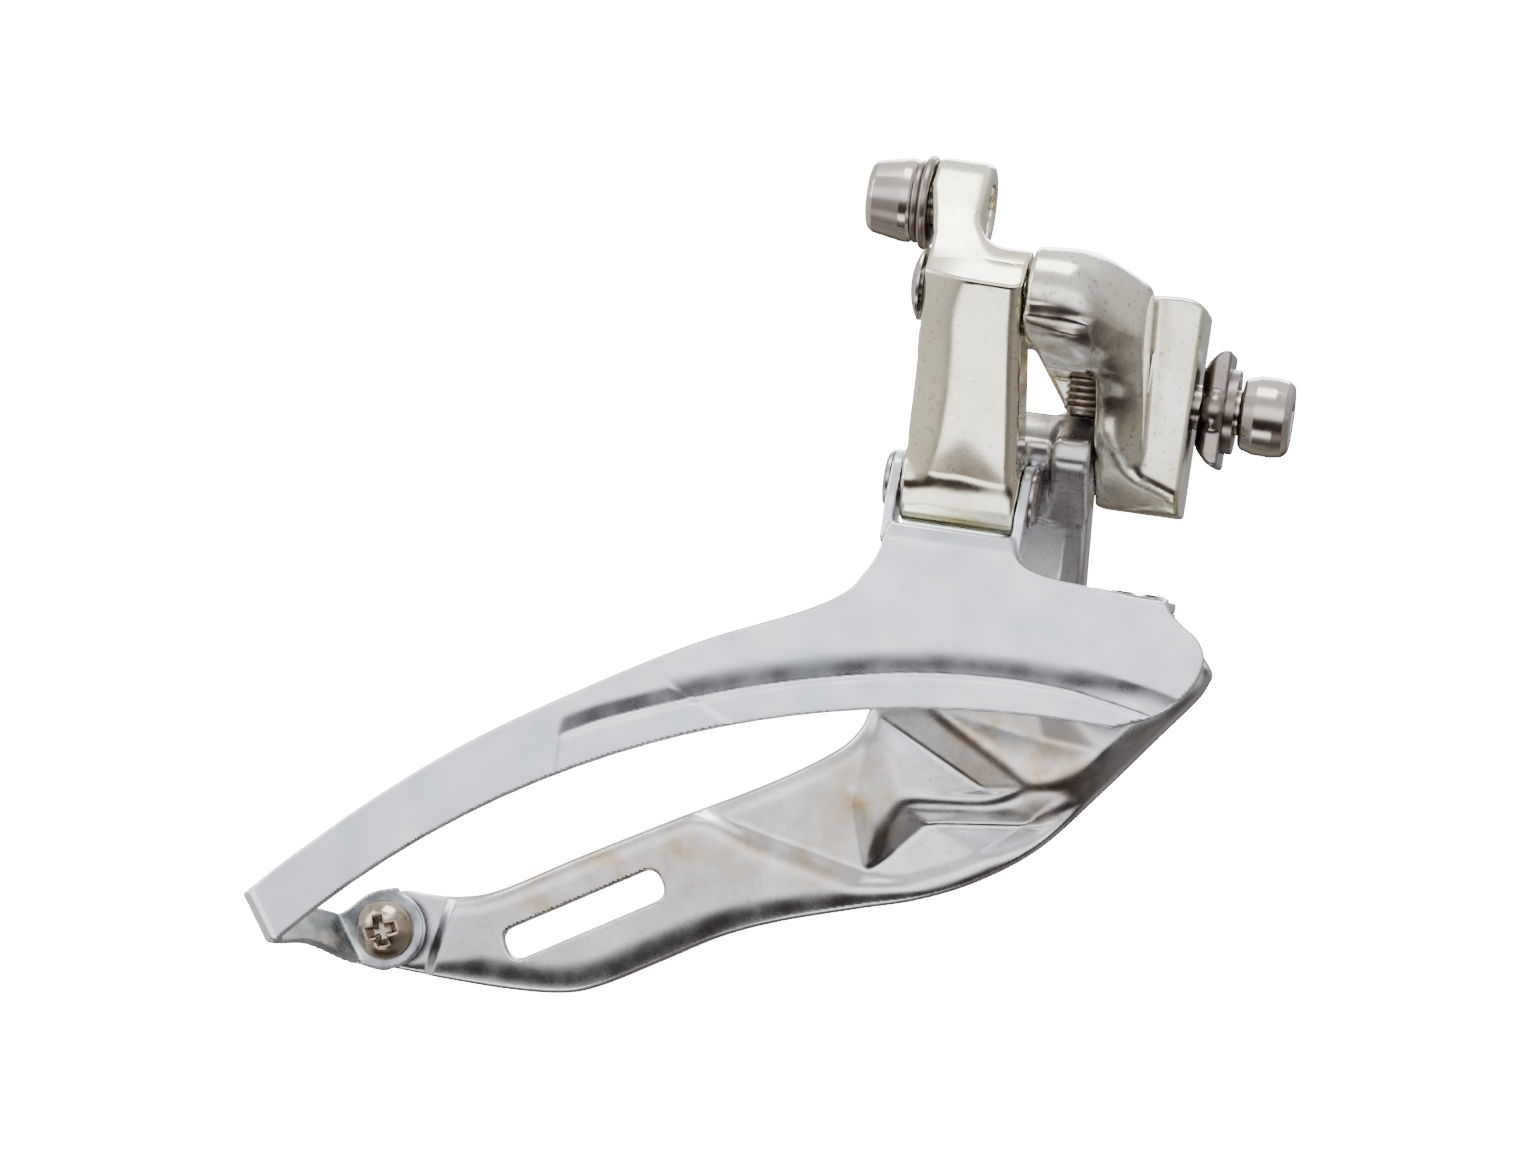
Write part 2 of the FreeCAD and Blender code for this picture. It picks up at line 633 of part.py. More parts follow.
def make_inner_plate():
    body = new_body("inner_plate", "Sizes.innerPlateAcross")
    centre = (size("tailScrewX"), size("tailScrewZ"))
    plate = new_sketch(body, "innerOutline", "XZ")
    draw(plate, LOWER_EDGE[0], [
        ("curve", LOWER_EDGE[1:]),
        ("line", [(centre[0], centre[1] - 4.2)]),
        ("arc", [(centre[0] - 4.2, centre[1]), (centre[0], centre[1] + 4.2)]),
        ("line", [UPPER_EDGE[0]]),
        ("curve", UPPER_EDGE[1:]),
        ("line", [(-7.0, -24.6)]),
        ("line", [(-6.5, -22.5)]),
        ("line", [(0.6, -22.5)]),
        ("curve", [(3.4, -24.8), LOWER_EDGE[0]])])
    add(body, "Pad", plate, "Sizes.plateThickness", backwards=True)
    # the lower and front edges turn inboard
    rim = new_sketch(body, "rim", "XZ")
    inner = inset(LOWER_EDGE, -size("plateThickness"))
    draw(rim, LOWER_EDGE[0], [
        ("curve", LOWER_EDGE[1:]),
        ("line", [inner[-1]]),
        ("curve", inner[-2::-1]),
        ("line", [LOWER_EDGE[0]])])
    add(body, "Pad", rim, "Sizes.flangeDepth", backwards=True)
    # slanted slot near the tail
    slot = new_sketch(body, "slot", "XZ", "1")
    polygon(slot, ((-68.2, -68.4), (-66.2, -71.0), (-50.3, -61.1), (-52.4, -58.2)))
    add(body, "Pocket", slot, "4")
    # a tab turned outboard under the bridge
    block(body, "bridgeTab", "XZ", "9.2", "9.6", (
        (-6.5, -22.5), (-6.5, -23.6), (0.6, -23.6), (0.6, -22.5)), backwards=True)
    for name, x in (("rearTabHole", -4.6), ("frontTabHole", -1.2)):
        rod(body, name, "XY", "-30", "15", (x, -5.9), 1.0, "Pocket", True)
    # ears folded inboard round the lower inner pivot
    pivot = (D[0] - size("innerPlateAcross"), D[1])
    ear = size("earRadius")
    for name, left in (("innerLeftEar", "-17.95"), ("innerRightEar", "-9.5")):
        sketch = new_sketch(body, name, "YZ", left)
        draw(sketch, (0, pivot[1] - 5.0), [
            ("line", [(0, pivot[1] + 3.4)]),
            ("line", [(pivot[0], pivot[1] + ear)]),
            ("arc", [(pivot[0] + ear, pivot[1]), (pivot[0], pivot[1] - ear)]),
            ("line", [(0, pivot[1] - 5.0)])])
        add(body, "Pad", sketch, "Sizes.plateThickness")
        rod(body, name + "Hole", "YZ", left + " - 0.5", "2.2", pivot, size("pinRadius"),
            "Pocket", True)
    rod(body, "cageScrewHole", "XZ", "3", "6", centre, size("tailScrewRadius"), "Pocket")
    return body


def make_cage_screw():
    """Pan-head screw through the tail tab, its head outboard."""
    body = doc.addObject("PartDesign::Body", "cage_screw")
    body.Label = "cage_screw"
    bind(body, ".Placement.Base.x", "Sizes.tailScrewX")
    bind(body, ".Placement.Base.z", "Sizes.tailScrewZ")
    seat = -1.1
    top = seat - 2.3
    profile = [(1.8, 3.6)] + [(r, y) for y, r in thread(3.3, 1.6, 2.0, 0.7)]
    profile += [(2.0, 1.5), (2.0, seat), (3.8, seat), (3.8, seat - 0.6)]
    steps = lines(profile)
    steps += [("arc", [(3.2, seat - 1.7), (1.6, top + 0.05)])]
    steps += lines([(0, top), (0, 3.6)])
    turned(body, "cageScrewProfile", "XY", (0, 3.6), steps, "V_Axis")
    for turn, (wide, deep) in enumerate(((2.1, 0.45), (0.45, 2.1))):
        block(body, "crossSlot%d" % turn, "XZ", "%g" % (-top + 0.5), "1.9", (
            (-wide, -deep), (wide, -deep), (wide, deep), (-wide, deep)), "Pocket")
    return body


def make_cage_nut():
    body = doc.addObject("PartDesign::Body", "cage_nut")
    body.Label = "cage_nut"
    bind(body, ".Placement.Base.x", "Sizes.tailScrewX")
    bind(body, ".Placement.Base.z", "Sizes.tailScrewZ")
    sketch = new_sketch(body, "nutFace", "XZ", "-1.56")
    circle(sketch, (0, 0), 3.4)
    circle(sketch, (0, 0), size("tailScrewRadius"))
    add(body, "Pad", sketch, "1.8", backwards=True)
    return body


def make_rivet(name, x):
    body = doc.addObject("PartDesign::Body", name)
    body.Label = name
    body.Placement.Base = Vector(x, 0, 0)
    bind(body, ".Placement.Base.y", "Sizes.outerPlateAcross + 7.3")
    top, low = -20.8, -24.1
    profile = [(1.1, low), (1.6, low + 0.25), (1.6, low + 0.5), (1.0, low + 0.5),
               (1.0, top - 0.5), (1.6, top - 0.5), (1.6, top - 0.3), (1.1, top), (0, top),
               (0, low)]
    turned(body, name + "_profile", "XZ", (0, low), lines(profile), "V_Axis")
    return body


parts = [
    make_bracket(),
    make_fixing_bolt(),
    make_saddle_washer(),
    ring("flat_washer", None, None, "3.22", "0.98", 2.7, 4.6),
    dome("upper_outer_pin", *UPPER_OUTER, left=-29.8, tip=-8.9, head_radius=3.9,
         head_width=1.25),
    dome("upper_inner_pin", *UPPER_INNER, left=-28.3, tip=-4.6, head_radius=3.0,
         head_width=1.1),
    make_spring(),
    make_limit_screw("high_limit_screw", "highScrewAcross", 0.25),
    make_limit_screw("low_limit_screw", "lowScrewAcross", 0.1),
    make_outer_link(),
    ring("outer_link_upper_bush", *UPPER_OUTER, left="Sizes.linkLeft + 0.02",
         width="Sizes.linkWidth - 0.04", inner=size("bushBore"), outer=size("bushRadius")),
    ring("outer_link_lower_bush", *LOWER_OUTER, left="Sizes.linkFootLeft + 0.02",
         width="Sizes.linkFootWidth - 0.04", inner=size("bushBore"), outer=size("bushRadius")),
    make_cable_bolt(),
    rounded_ring("cable_clamp_plate", *ARM_END, left=-31.1, right=-30.02, inner=2.6, outer=5.05,
                 rounding=0.5, turn="Sizes.restAngle"),
    rounded_ring("cable_bolt_washer", *ARM_END, left=-31.98, right=-31.12, inner=2.6, outer=4.45,
                 rounding=0.4, turn="Sizes.restAngle"),
    make_inner_link(),
    ring("inner_link_upper_bush", *UPPER_INNER, left="Sizes.shelfLeft + 0.02",
         width="Sizes.shelfWidth - 0.04", inner=size("bushBore"), outer=size("bushRadius") - 0.4),
    ring("inner_link_lower_bush", *LOWER_INNER, left="Sizes.innerLeft + 0.02",
         width="Sizes.innerWidth - 0.04", inner=size("bushBore"), outer=size("bushRadius") - 0.4),
    make_outer_plate(),
    make_inner_plate(),
    make_cage_screw(),
    make_cage_nut(),
    make_rivet("rear_bridge_rivet", -4.6),
    make_rivet("front_bridge_rivet", -1.2),
    headed_pin("lower_outer_pin", *LOWER_OUTER, left=-31.3, right=-14.7),
    headed_pin("lower_inner_pin", *LOWER_INNER, left=-18.7, right=-7.6),
]

doc.recompute()
for item in doc.Objects:
    if "Invalid" in item.State or "Error" in item.State:
        raise RuntimeError("%s did not compute: %s" % (item.Name, item.State))
for part in parts:
    if part.Shape.isNull() or not part.Shape.isValid() or len(part.Shape.Solids) != 1:
        raise RuntimeError("%s has a bad shape: %d solids" % (part.Label, len(part.Shape.Solids)))

os.makedirs("parts", exist_ok=True)
for part in parts:
    part.Shape.exportStep("parts/%s.step" % part.Label)
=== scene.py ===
import math

import bpy
import numpy as np
from mathutils import Matrix, Vector
from mathutils.geometry import delaunay_2d_cdt


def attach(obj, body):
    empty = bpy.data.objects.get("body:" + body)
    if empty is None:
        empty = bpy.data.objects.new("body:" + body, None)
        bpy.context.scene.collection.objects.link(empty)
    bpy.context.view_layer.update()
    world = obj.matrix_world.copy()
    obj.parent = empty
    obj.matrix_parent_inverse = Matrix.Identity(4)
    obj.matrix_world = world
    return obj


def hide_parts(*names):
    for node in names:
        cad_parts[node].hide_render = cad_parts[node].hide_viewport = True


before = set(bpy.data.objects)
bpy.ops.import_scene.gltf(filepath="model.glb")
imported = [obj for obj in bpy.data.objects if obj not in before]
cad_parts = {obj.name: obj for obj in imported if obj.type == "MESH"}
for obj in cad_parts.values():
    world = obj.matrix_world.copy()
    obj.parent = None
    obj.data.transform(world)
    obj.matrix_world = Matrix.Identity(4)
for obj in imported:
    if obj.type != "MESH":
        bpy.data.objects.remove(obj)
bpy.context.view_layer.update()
MM = 0.001

# pivots of the parallelogram in millimetres, (across, up)
REST = math.radians(29.0)
LINK = 23.4
PIVOT_A = (-19.0, 8.0)
PIVOT_B = (-3.0, -7.3)
PIVOT_C = (PIVOT_A[0] + LINK * math.sin(REST), PIVOT_A[1] - LINK * math.cos(REST))
PIVOT_D = (PIVOT_C[0] + 16.0, PIVOT_C[1] - 15.3)
TAIL_SCREW = (-81.0, -69.8)
# sizes of the bolts, pins and bushes, in millimetres
BOLT_RADIUS = 2.5
HEX_ACROSS = 4.0
PIN_RADIUS = 2.0
OUTER_BUSH_RADIUS = 3.0
INNER_BUSH_RADIUS = 2.6


# ---------------- distance fields, millimetres

def smin(a, b, k):
    """The lower of two fields, with a fillet of size k where they meet."""
    h = np.maximum(k - np.abs(a - b), 0.0) / k
    return np.minimum(a, b) - h * h * k * 0.25


def smax(a, b, k):
    """The higher of two fields, eased in the same way."""
    return -smin(-a, -b, k)


def all_of(k, *fields):
    """What lies inside every one of the fields."""
    result = fields[0]
    for field in fields[1:]:
        result = smax(result, field, k)
    return result


def held(value):
    """A value held between 0 and 1."""
    return np.clip(value, 0, 1)


def slab(value, low, high):
    """Negative between low and high."""
    return np.abs(value - 0.5 * (low + high)) - 0.5 * (high - low)


def block(x, y, z, xs, ys, zs, k):
    return all_of(k, slab(x, *xs), slab(y, *ys), slab(z, *zs))


def from_axis(a, b, centre):
    """Distance from an axis, seen along it."""
    return np.hypot(a - centre[0], b - centre[1])


def barrel(x, across, up, centre, radius, xs, k):
    """A cylinder along X."""
    return smax(from_axis(across, up, centre) - radius, slab(x, *xs), k)


def eased(value, width):
    """Zero below zero and the value above, with an eased corner."""
    return 0.5 * (value + np.sqrt(value * value + width * width))


def link_frame(y, z, pivot):
    """Across and up, turned into a link's own frame: inboard, and up along the link."""
    dy, dz = y - pivot[0], z - pivot[1]
    return (dy * math.cos(REST) + dz * math.sin(REST),
            dz * math.cos(REST) - dy * math.sin(REST))


def stadium(u, w, start, end, r_start, r_end):
    """A bar with round ends of two sizes, seen along its axis."""
    du, dw = end[0] - start[0], end[1] - start[1]
    t = held(((u - start[0]) * du + (w - start[1]) * dw) / (du * du + dw * dw))
    away = np.hypot(u - start[0] - t * du, w - start[1] - t * dw)
    return away - (r_start + t * (r_end - r_start))


def curve(points, per=8):
    """A smooth line through the points."""
    p = np.array(points, float)
    p = np.vstack([2 * p[0] - p[1], p, 2 * p[-1] - p[-2]])
    t = np.linspace(0, 1, per, endpoint=False)[:, None]
    runs = []
    for k in range(len(p) - 3):
        a, b, c, d = p[k:k + 4]
        runs.append(0.5 * (2 * b + (c - a) * t + (2 * a - 5 * b + 4 * c - d) * t ** 2
                           + (3 * b - a - 3 * c + d) * t ** 3))
    return np.vstack(runs + [p[-2:-1]])


def outline_field(points, u, w):
    """Distance to a closed outline, negative inside."""
    best = np.full(np.broadcast(u, w).shape, 1e9)
    inside = np.zeros(best.shape, bool)
    for a, b in zip(points, np.roll(points, -1, axis=0)):
        du, dw = b[0] - a[0], b[1] - a[1]
        t = held(((u - a[0]) * du + (w - a[1]) * dw) / max(du * du + dw * dw, 1e-12))
        best = np.minimum(best, (u - a[0] - t * du) ** 2 + (w - a[1] - t * dw) ** 2)
        crosses = (a[1] > w) != (b[1] > w)
        if dw:
            inside ^= crosses & (u < a[0] + du * (w - a[1]) / dw)
    return np.where(inside, -1.0, 1.0) * np.sqrt(best)


def line_field(points, u, w):
    """Signed distance to an open line, positive on the left of its direction."""
    best = np.full(np.broadcast(u, w).shape, 1e9)
    side = np.zeros(best.shape)
    for a, b in zip(points[:-1], points[1:]):
        du, dw = b[0] - a[0], b[1] - a[1]
        t = held(((u - a[0]) * du + (w - a[1]) * dw) / (du * du + dw * dw))
        away = (u - a[0] - t * du) ** 2 + (w - a[1] - t * dw) ** 2
        turn = du * (w - a[1]) - dw * (u - a[0])
        nearer = away < best
        best = np.where(nearer, away, best)
        side = np.where(nearer, np.sign(turn), side)
    return side * np.sqrt(best)


class Map:
    """Values over a rectangle of the X-Z plane, read back smoothly at any point."""

    def __init__(self, low, high, step):
        self.low, self.step = np.array(low, float), step
        count = np.ceil((np.array(high) - low) / step).astype(int) + 1
        self.u = low[0] + step * np.arange(count[0])[:, None]
        self.w = low[1] + step * np.arange(count[1])[None, :]
        self.values = np.zeros((count[0], count[1]))

    def fill(self, values):
        self.values = np.broadcast_to(values, self.values.shape).astype(float)
        return self

    def blur(self, radius):
        reach = int(3 * radius / self.step) + 1
        kernel = np.exp(-0.5 * (np.arange(-reach, reach + 1) * self.step / radius) ** 2)
        kernel /= kernel.sum()
        for axis in (0, 1):
            pad = [(0, 0), (0, 0)]
            pad[axis] = (reach, reach)
            v = np.pad(self.values, pad, mode="edge")
            total = 0
            for k, share in enumerate(kernel):
                cut = [slice(None), slice(None)]
                cut[axis] = slice(k, k + self.values.shape[axis])
                total = total + share * v[tuple(cut)]
            self.values = total
        return self

    def __call__(self, x, z):
        a = np.clip((x - self.low[0]) / self.step, 0, self.values.shape[0] - 1.001)
        b = np.clip((z - self.low[1]) / self.step, 0, self.values.shape[1] - 1.001)
        i, j = a.astype(int), b.astype(int)
        a, b = a - i, b - j
        v = self.values
        return ((v[i, j] * (1 - a) + v[i + 1, j] * a) * (1 - b)
                + (v[i, j + 1] * (1 - a) + v[i + 1, j + 1] * a) * b)


def facet_map(area, step, points, creases, soften):
    """Relief pressed into a plate: flat facets between named points, their creases eased."""
    names = list(points)
    corners = [Vector(points[n][:2]) for n in names]
    edges = [(names.index(a), names.index(b)) for a, b in creases]
    where, _, faces, origin, _, _ = delaunay_2d_cdt(corners, edges, [], 0, 1e-4)
    height = [points[names[source[0]]][2] if source else 0.0 for source in origin]
    relief = Map(area[0], area[1], step)
    values = relief.values.copy()
    for face in faces:
        (ax, az), (bx, bz), (cx, cz) = [where[k] for k in face]
        area2 = (bx - ax) * (cz - az) - (cx - ax) * (bz - az)
        if abs(area2) < 1e-9:
            continue
        p = ((relief.u - ax) * (cz - az) - (cx - ax) * (relief.w - az)) / area2
        q = ((bx - ax) * (relief.w - az) - (relief.u - ax) * (bz - az)) / area2
        level = (height[face[0]] * (1 - p - q) + height[face[1]] * p + height[face[2]] * q)
        values = np.where((p >= -1e-6) & (q >= -1e-6) & (p + q <= 1 + 1e-6), level, values)
    return relief.fill(values).blur(soften)


# ---------------- from field to mesh

CORNERS = [(a, b, c) for a in (0, 1) for b in (0, 1) for c in (0, 1)]
UNIT = np.eye(3, dtype=int)


def polygonise(field, low, high, cell):
    """Quads over the surface where the field is zero, one vertex per crossed cell."""
    axes = [lo + cell * np.arange(int(math.ceil((hi - lo) / cell)) + 1)
            for lo, hi in zip(low, high)]
    gx, gy, gz = axes[0][:, None, None], axes[1][None, :, None], axes[2][None, None, :]
    v = field(gx, gy, gz)
    n = [len(a) - 1 for a in axes]
    inside = v < 0
    count = sum(inside[a:a + n[0], b:b + n[1], c:c + n[2]].astype(np.int8)
                for a, b, c in CORNERS)
    cells = np.argwhere((count > 0) & (count < 8))
    number = np.full(n, -1, np.int64)
    number[tuple(cells.T)] = np.arange(len(cells))
    total = np.zeros((len(cells), 3))
    hits = np.zeros(len(cells))
    for axis in range(3):
        step = UNIT[axis]
        for start in CORNERS:
            if start[axis]:
                continue
            here = cells + start
            there = here + step
            a, b = v[tuple(here.T)], v[tuple(there.T)]
            cross = (a < 0) != (b < 0)
            t = np.where(cross, a / np.where(cross, a - b, 1), 0)
            total += cross[:, None] * (here + t[:, None] * step)
            hits += cross
    spots = np.array([a[0] for a in axes]) + cell * total / hits[:, None]
    quads = []
    for axis in range(3):
        step = UNIT[axis]
        one, two = UNIT[(axis + 1) % 3], UNIT[(axis + 2) % 3]
        size = [len(a) - step[k] for k, a in enumerate(axes)]
        first = inside[tuple(slice(0, s) for s in size)]
        shift = [slice(step[k], step[k] + s) for k, s in enumerate(size)]
        second = inside[tuple(shift)]
        edges = np.argwhere(first != second)
        keep = np.all((edges - one - two >= 0) & (edges < np.array(n)), axis=1)
        edges = edges[keep]
        ring = [number[tuple((edges - d).T)] for d in (0 * one, one, one + two, two)]
        ring = np.stack(ring, axis=1)
        flip = first[tuple(edges.T)]
        ring[flip] = ring[flip][:, ::-1]
        quads.append(ring)
    quads = np.vstack(quads)
    quads = quads[np.all(quads >= 0, axis=1)][:, ::-1]

    def slope(p, reach):
        out = np.empty_like(p)
        for axis in range(3):
            step = UNIT[axis] * reach
            a, b = p + step, p - step
            out[:, axis] = field(a[:, 0], a[:, 1], a[:, 2]) - field(b[:, 0], b[:, 1], b[:, 2])
        return out / (2 * reach)

    # three steps onto the surface, then the normals
    for _ in range(3):
        g = slope(spots, 0.03)
        level = field(spots[:, 0], spots[:, 1], spots[:, 2])
        move = (level / np.maximum((g * g).sum(1), 0.05))[:, None] * g
        length = np.linalg.norm(move, axis=1, keepdims=True)
        spots -= move * np.minimum(1.0, 0.5 * cell / np.maximum(length, 1e-9))
    normals = slope(spots, 0.06)
    normals /= np.maximum(np.linalg.norm(normals, axis=1, keepdims=True), 1e-9)
    return spots, quads, normals


def field_piece(name, field, low, high, cell, body, replaced, material):
    """A CAD node's finished shape, as one piece that rides on the node's body."""
    spots, quads, normals = polygonise(field, low, high, cell)
    mesh = bpy.data.meshes.new(name)
    mesh.from_pydata((spots * MM).tolist(), [], quads.tolist())
    mesh.update()
    mesh.shade_smooth()
    mesh.normals_split_custom_set_from_vertices(normals.tolist())
    piece = bpy.data.objects.new(name, mesh)
    bpy.context.collection.objects.link(piece)
    mesh.materials.append(material)
    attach(piece, body)
    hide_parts(replaced)
    return piece


# ---------------- materials

# scales of the noises in a metal, in features per metre
BLOT_SCALE, FLECK_SCALE, POLISH_SCALE = 330.0, 1700.0, 260.0
DENT_SCALE, WAVE_SCALE = 420.0, 110.0
MICRON = 1e-6


def new_material(name):
    """A material with its tree, shader and object coordinates."""
    material = bpy.data.materials.new(name)
    material.use_nodes = True
    tree = material.node_tree
    place = tree.nodes.new("ShaderNodeTexCoord")
    return material, tree, tree.nodes["Principled BSDF"], place.outputs["Object"]


def noise(tree, place, scale, stretch=(1, 1, 1), detail=4.0, turn=(0, 0, 0)):
    """Noise in object space; scale is in features per metre, stretch squeezes it by axis."""
    mapping = tree.nodes.new("ShaderNodeMapping")
    mapping.inputs["Scale"].default_value = stretch
    mapping.inputs["Rotation"].default_value = turn
    tree.links.new(place, mapping.inputs["Vector"])
    texture = tree.nodes.new("ShaderNodeTexNoise")
    texture.inputs["Scale"].default_value = scale
    texture.inputs["Detail"].default_value = detail
    tree.links.new(mapping.outputs["Vector"], texture.inputs["Vector"])
    return texture.outputs["Fac"]


def spread(tree, value, low, high, out_low=0.0, out_high=1.0):
    """A value's range stretched or squeezed to another, and held inside it."""
    change = tree.nodes.new("ShaderNodeMapRange")
    change.inputs["From Min"].default_value = low
    change.inputs["From Max"].default_value = high
    change.inputs["To Min"].default_value = out_low
    change.inputs["To Max"].default_value = out_high
    tree.links.new(value, change.inputs["Value"])
    return change.outputs["Result"]


def mix(tree, share, first, second):
    """Colour mix; first and second are colours or sockets."""
    node = tree.nodes.new("ShaderNodeMix")
    node.data_type = "RGBA"
    tree.links.new(share, node.inputs["Factor"])
    for socket, value in ((node.inputs[6], first), (node.inputs[7], second)):
        if isinstance(value, (tuple, list)):
            socket.default_value = (*value, 1.0)
        else:
            tree.links.new(value, socket)
    return node.outputs[2]


def bump(tree, height, strength, distance, before=None):
    """A bumped normal; distance is in metres, before is the normal it adds to."""
    node = tree.nodes.new("ShaderNodeBump")
    node.inputs["Strength"].default_value = strength
    node.inputs["Distance"].default_value = distance
    tree.links.new(height, node.inputs["Height"])
    if before is not None:
        tree.links.new(before, node.inputs["Normal"])
    return node.outputs["Normal"]


def combine(tree, operation, a, b):
    """One operation on two values; each is a number or a socket."""
    node = tree.nodes.new("ShaderNodeMath")
    node.operation = operation
    for socket, value in zip(node.inputs, (a, b)):
        if isinstance(value, float):
            socket.default_value = value
        else:
            tree.links.new(value, socket)
    return node.outputs["Value"]


def near(tree, place, spots, reach):
    """One near any of the spots (mm), fading to nothing at the reach."""
    total = None
    for spot in spots:
        gap = tree.nodes.new("ShaderNodeVectorMath")
        gap.operation = "DISTANCE"
        gap.inputs[1].default_value = [c * MM for c in spot]
        tree.links.new(place, gap.inputs[0])
        one = spread(tree, gap.outputs["Value"], 0.0, reach * MM, 1.0, 0.0)
        total = one if total is None else combine(tree, "MAXIMUM", total, one)
    return total


def metal(name, base, tint, rough, patch=90.0, grain=(1, 1, 1), grain_scale=2500.0,
          grain_depth=6.0, grain_turn=(0, 0, 0), speck=None, ripple=20.0, stains_and_shade=()):
    """Metal with drifting colour, uneven polish, a fine grain, ripples and dark specks.

    grain_depth and ripple are in microns; each stain entry is (colour, spots in mm, reach in
    mm), and the entries hold real stains as well as painted shade and painted reflections."""
    material, tree, shader, place = new_material(name)
    drift = noise(tree, place, patch)
    colour = mix(tree, spread(tree, drift, 0.35, 0.7), base, tint)
    blot = noise(tree, place, BLOT_SCALE, detail=6.0)
    # each entry mixes its colour in near its spots: some are real stains, some are painted shade
    # and painted reflection
    for mark_colour, spots, reach in stains_and_shade:
        patchy = spread(tree, blot, 0.3, 0.6)
        close = near(tree, place, spots, reach)
        share = combine(tree, "MULTIPLY", close, patchy)
        colour = mix(tree, share, colour, mark_colour)
    if speck:
        fleck = noise(tree, place, FLECK_SCALE, detail=6.0)
        fleck_share = spread(tree, fleck, 0.57, 0.72, 0.0, 0.6)
        colour = mix(tree, fleck_share, colour, speck)
    tree.links.new(colour, shader.inputs["Base Color"])
    polish = noise(tree, place, POLISH_SCALE, detail=5.0)
    tree.links.new(spread(tree, polish, 0.3, 0.7, *rough), shader.inputs["Roughness"])
    shader.inputs["Metallic"].default_value = 1.0
    fine = noise(tree, place, grain_scale, grain, detail=3.0, turn=grain_turn)
    dents = noise(tree, place, DENT_SCALE, detail=4.0)
    waves = noise(tree, place, WAVE_SCALE, detail=2.0)
    normal = bump(tree, fine, 0.35, grain_depth * MICRON)
    normal = bump(tree, dents, 0.25, ripple * MICRON, normal)
    normal = bump(tree, waves, 0.5, 4 * ripple * MICRON, normal)
    tree.links.new(normal, shader.inputs["Normal"])
    return material


TURNED = metal("turned_steel", (0.60, 0.555, 0.525), (0.49, 0.43, 0.39), (0.12, 0.24),
               grain=(14.0, 1.0, 1.0), grain_depth=1.5, ripple=3.0)
SADDLE = metal("saddle_steel", (0.36, 0.33, 0.30), (0.26, 0.22, 0.20), (0.2, 0.34),
               speck=(0.10, 0.07, 0.06), ripple=14.0)
CLAMP = metal("clamp_steel", (0.30, 0.26, 0.25), (0.20, 0.17, 0.16), (0.22, 0.38),
              grain=(14.0, 1.0, 1.0))
PIN = metal("pin_steel", (0.55, 0.52, 0.50), (0.44, 0.41, 0.39), (0.2, 0.34),
            speck=(0.12, 0.09, 0.07))
SPRING = metal("spring_steel", (0.30, 0.29, 0.28), (0.22, 0.20, 0.19), (0.3, 0.45))
LIMIT = metal("limit_screw_steel", (0.40, 0.34, 0.31), (0.22, 0.18, 0.16), (0.22, 0.38),
              speck=(0.08, 0.05, 0.04))
# the near-black patch laid over the screw head, deepest at its centre, is painted shade in the
# cross recess
SCREW = metal("cage_screw_nickel", (0.50, 0.43, 0.35), (0.34, 0.27, 0.20), (0.12, 0.24),
              speck=(0.16, 0.10, 0.07),
              stains_and_shade=[((0.04, 0.03, 0.02), [(-81.0, -1.6, -69.8)], 3.6)])
LINK_ALLOY = metal("polished_link_alloy", (0.90, 0.86, 0.71), (0.84, 0.79, 0.61), (0.13, 0.22),
                   speck=(0.42, 0.37, 0.25), ripple=14.0,
                   stains_and_shade=[((0.72, 0.66, 0.40), [(-23, -10, -16.5), (-28, -15, -12)], 5.0)])
BRACKET_ALLOY = metal("polished_bracket_alloy", (0.86, 0.84, 0.76), (0.72, 0.67, 0.54),
                      (0.15, 0.27), patch=140.0, speck=(0.24, 0.19, 0.13), ripple=22.0,
                      stains_and_shade=[((0.66, 0.60, 0.36), [(-0.8, -6, -10), (0.0, -7, 7), (-5, -2, -12),
                                                    (-12, -17, 13)], 4.0),
                              # painted shadow: near-black spots on the mount face in the gap
                              # between the rib and the saddle washer
                              ((0.07, 0.05, 0.04), [(0, -5.5, 2.5), (0, -5.5, -0.5),
                                                    (0, -5.5, -3.5)], 2.9),
                              # painted reflection: a dark pinkish band down the bend's lower
                              # side, where it faces the dark below
                              ((0.11, 0.075, 0.065), [(-10.8, -22.4, 5.2), (-9.6, -19.5, 4.0),
                                                    (-8.8, -16.5, 1.5), (-8.2, -13.5, -1.5),
                                                    (-14, -23, 5.5)], 4.4)])
INNER_ALLOY = metal("cast_inner_alloy", (0.62, 0.62, 0.65), (0.50, 0.48, 0.50), (0.22, 0.34),
                    speck=(0.30, 0.28, 0.28), ripple=26.0)
OUTER_STEEL = metal("plated_outer_steel", (0.84, 0.89, 0.96), (0.70, 0.75, 0.83), (0.26, 0.38),
                    patch=160.0, grain=(12.0, 1.0, 1.0), grain_turn=(0, math.radians(-8), 0),
                    grain_depth=9.0, ripple=26.0,
                    # painted shade: the tail strip darkened where it lies between the two plates
                    stains_and_shade=[((0.26, 0.27, 0.26), [(-88.5, -6.5, -68.3), (-85.0, -2.0, -69.0),
                                                  (-86.5, -0.8, -70.5)], 5.5),
                            # painted shade: the screw tab and the plate round it darkened,
                            # strongest at the screw
                            ((0.10, 0.10, 0.10), [(-81.0, -0.8, -69.8)], 13.0)])
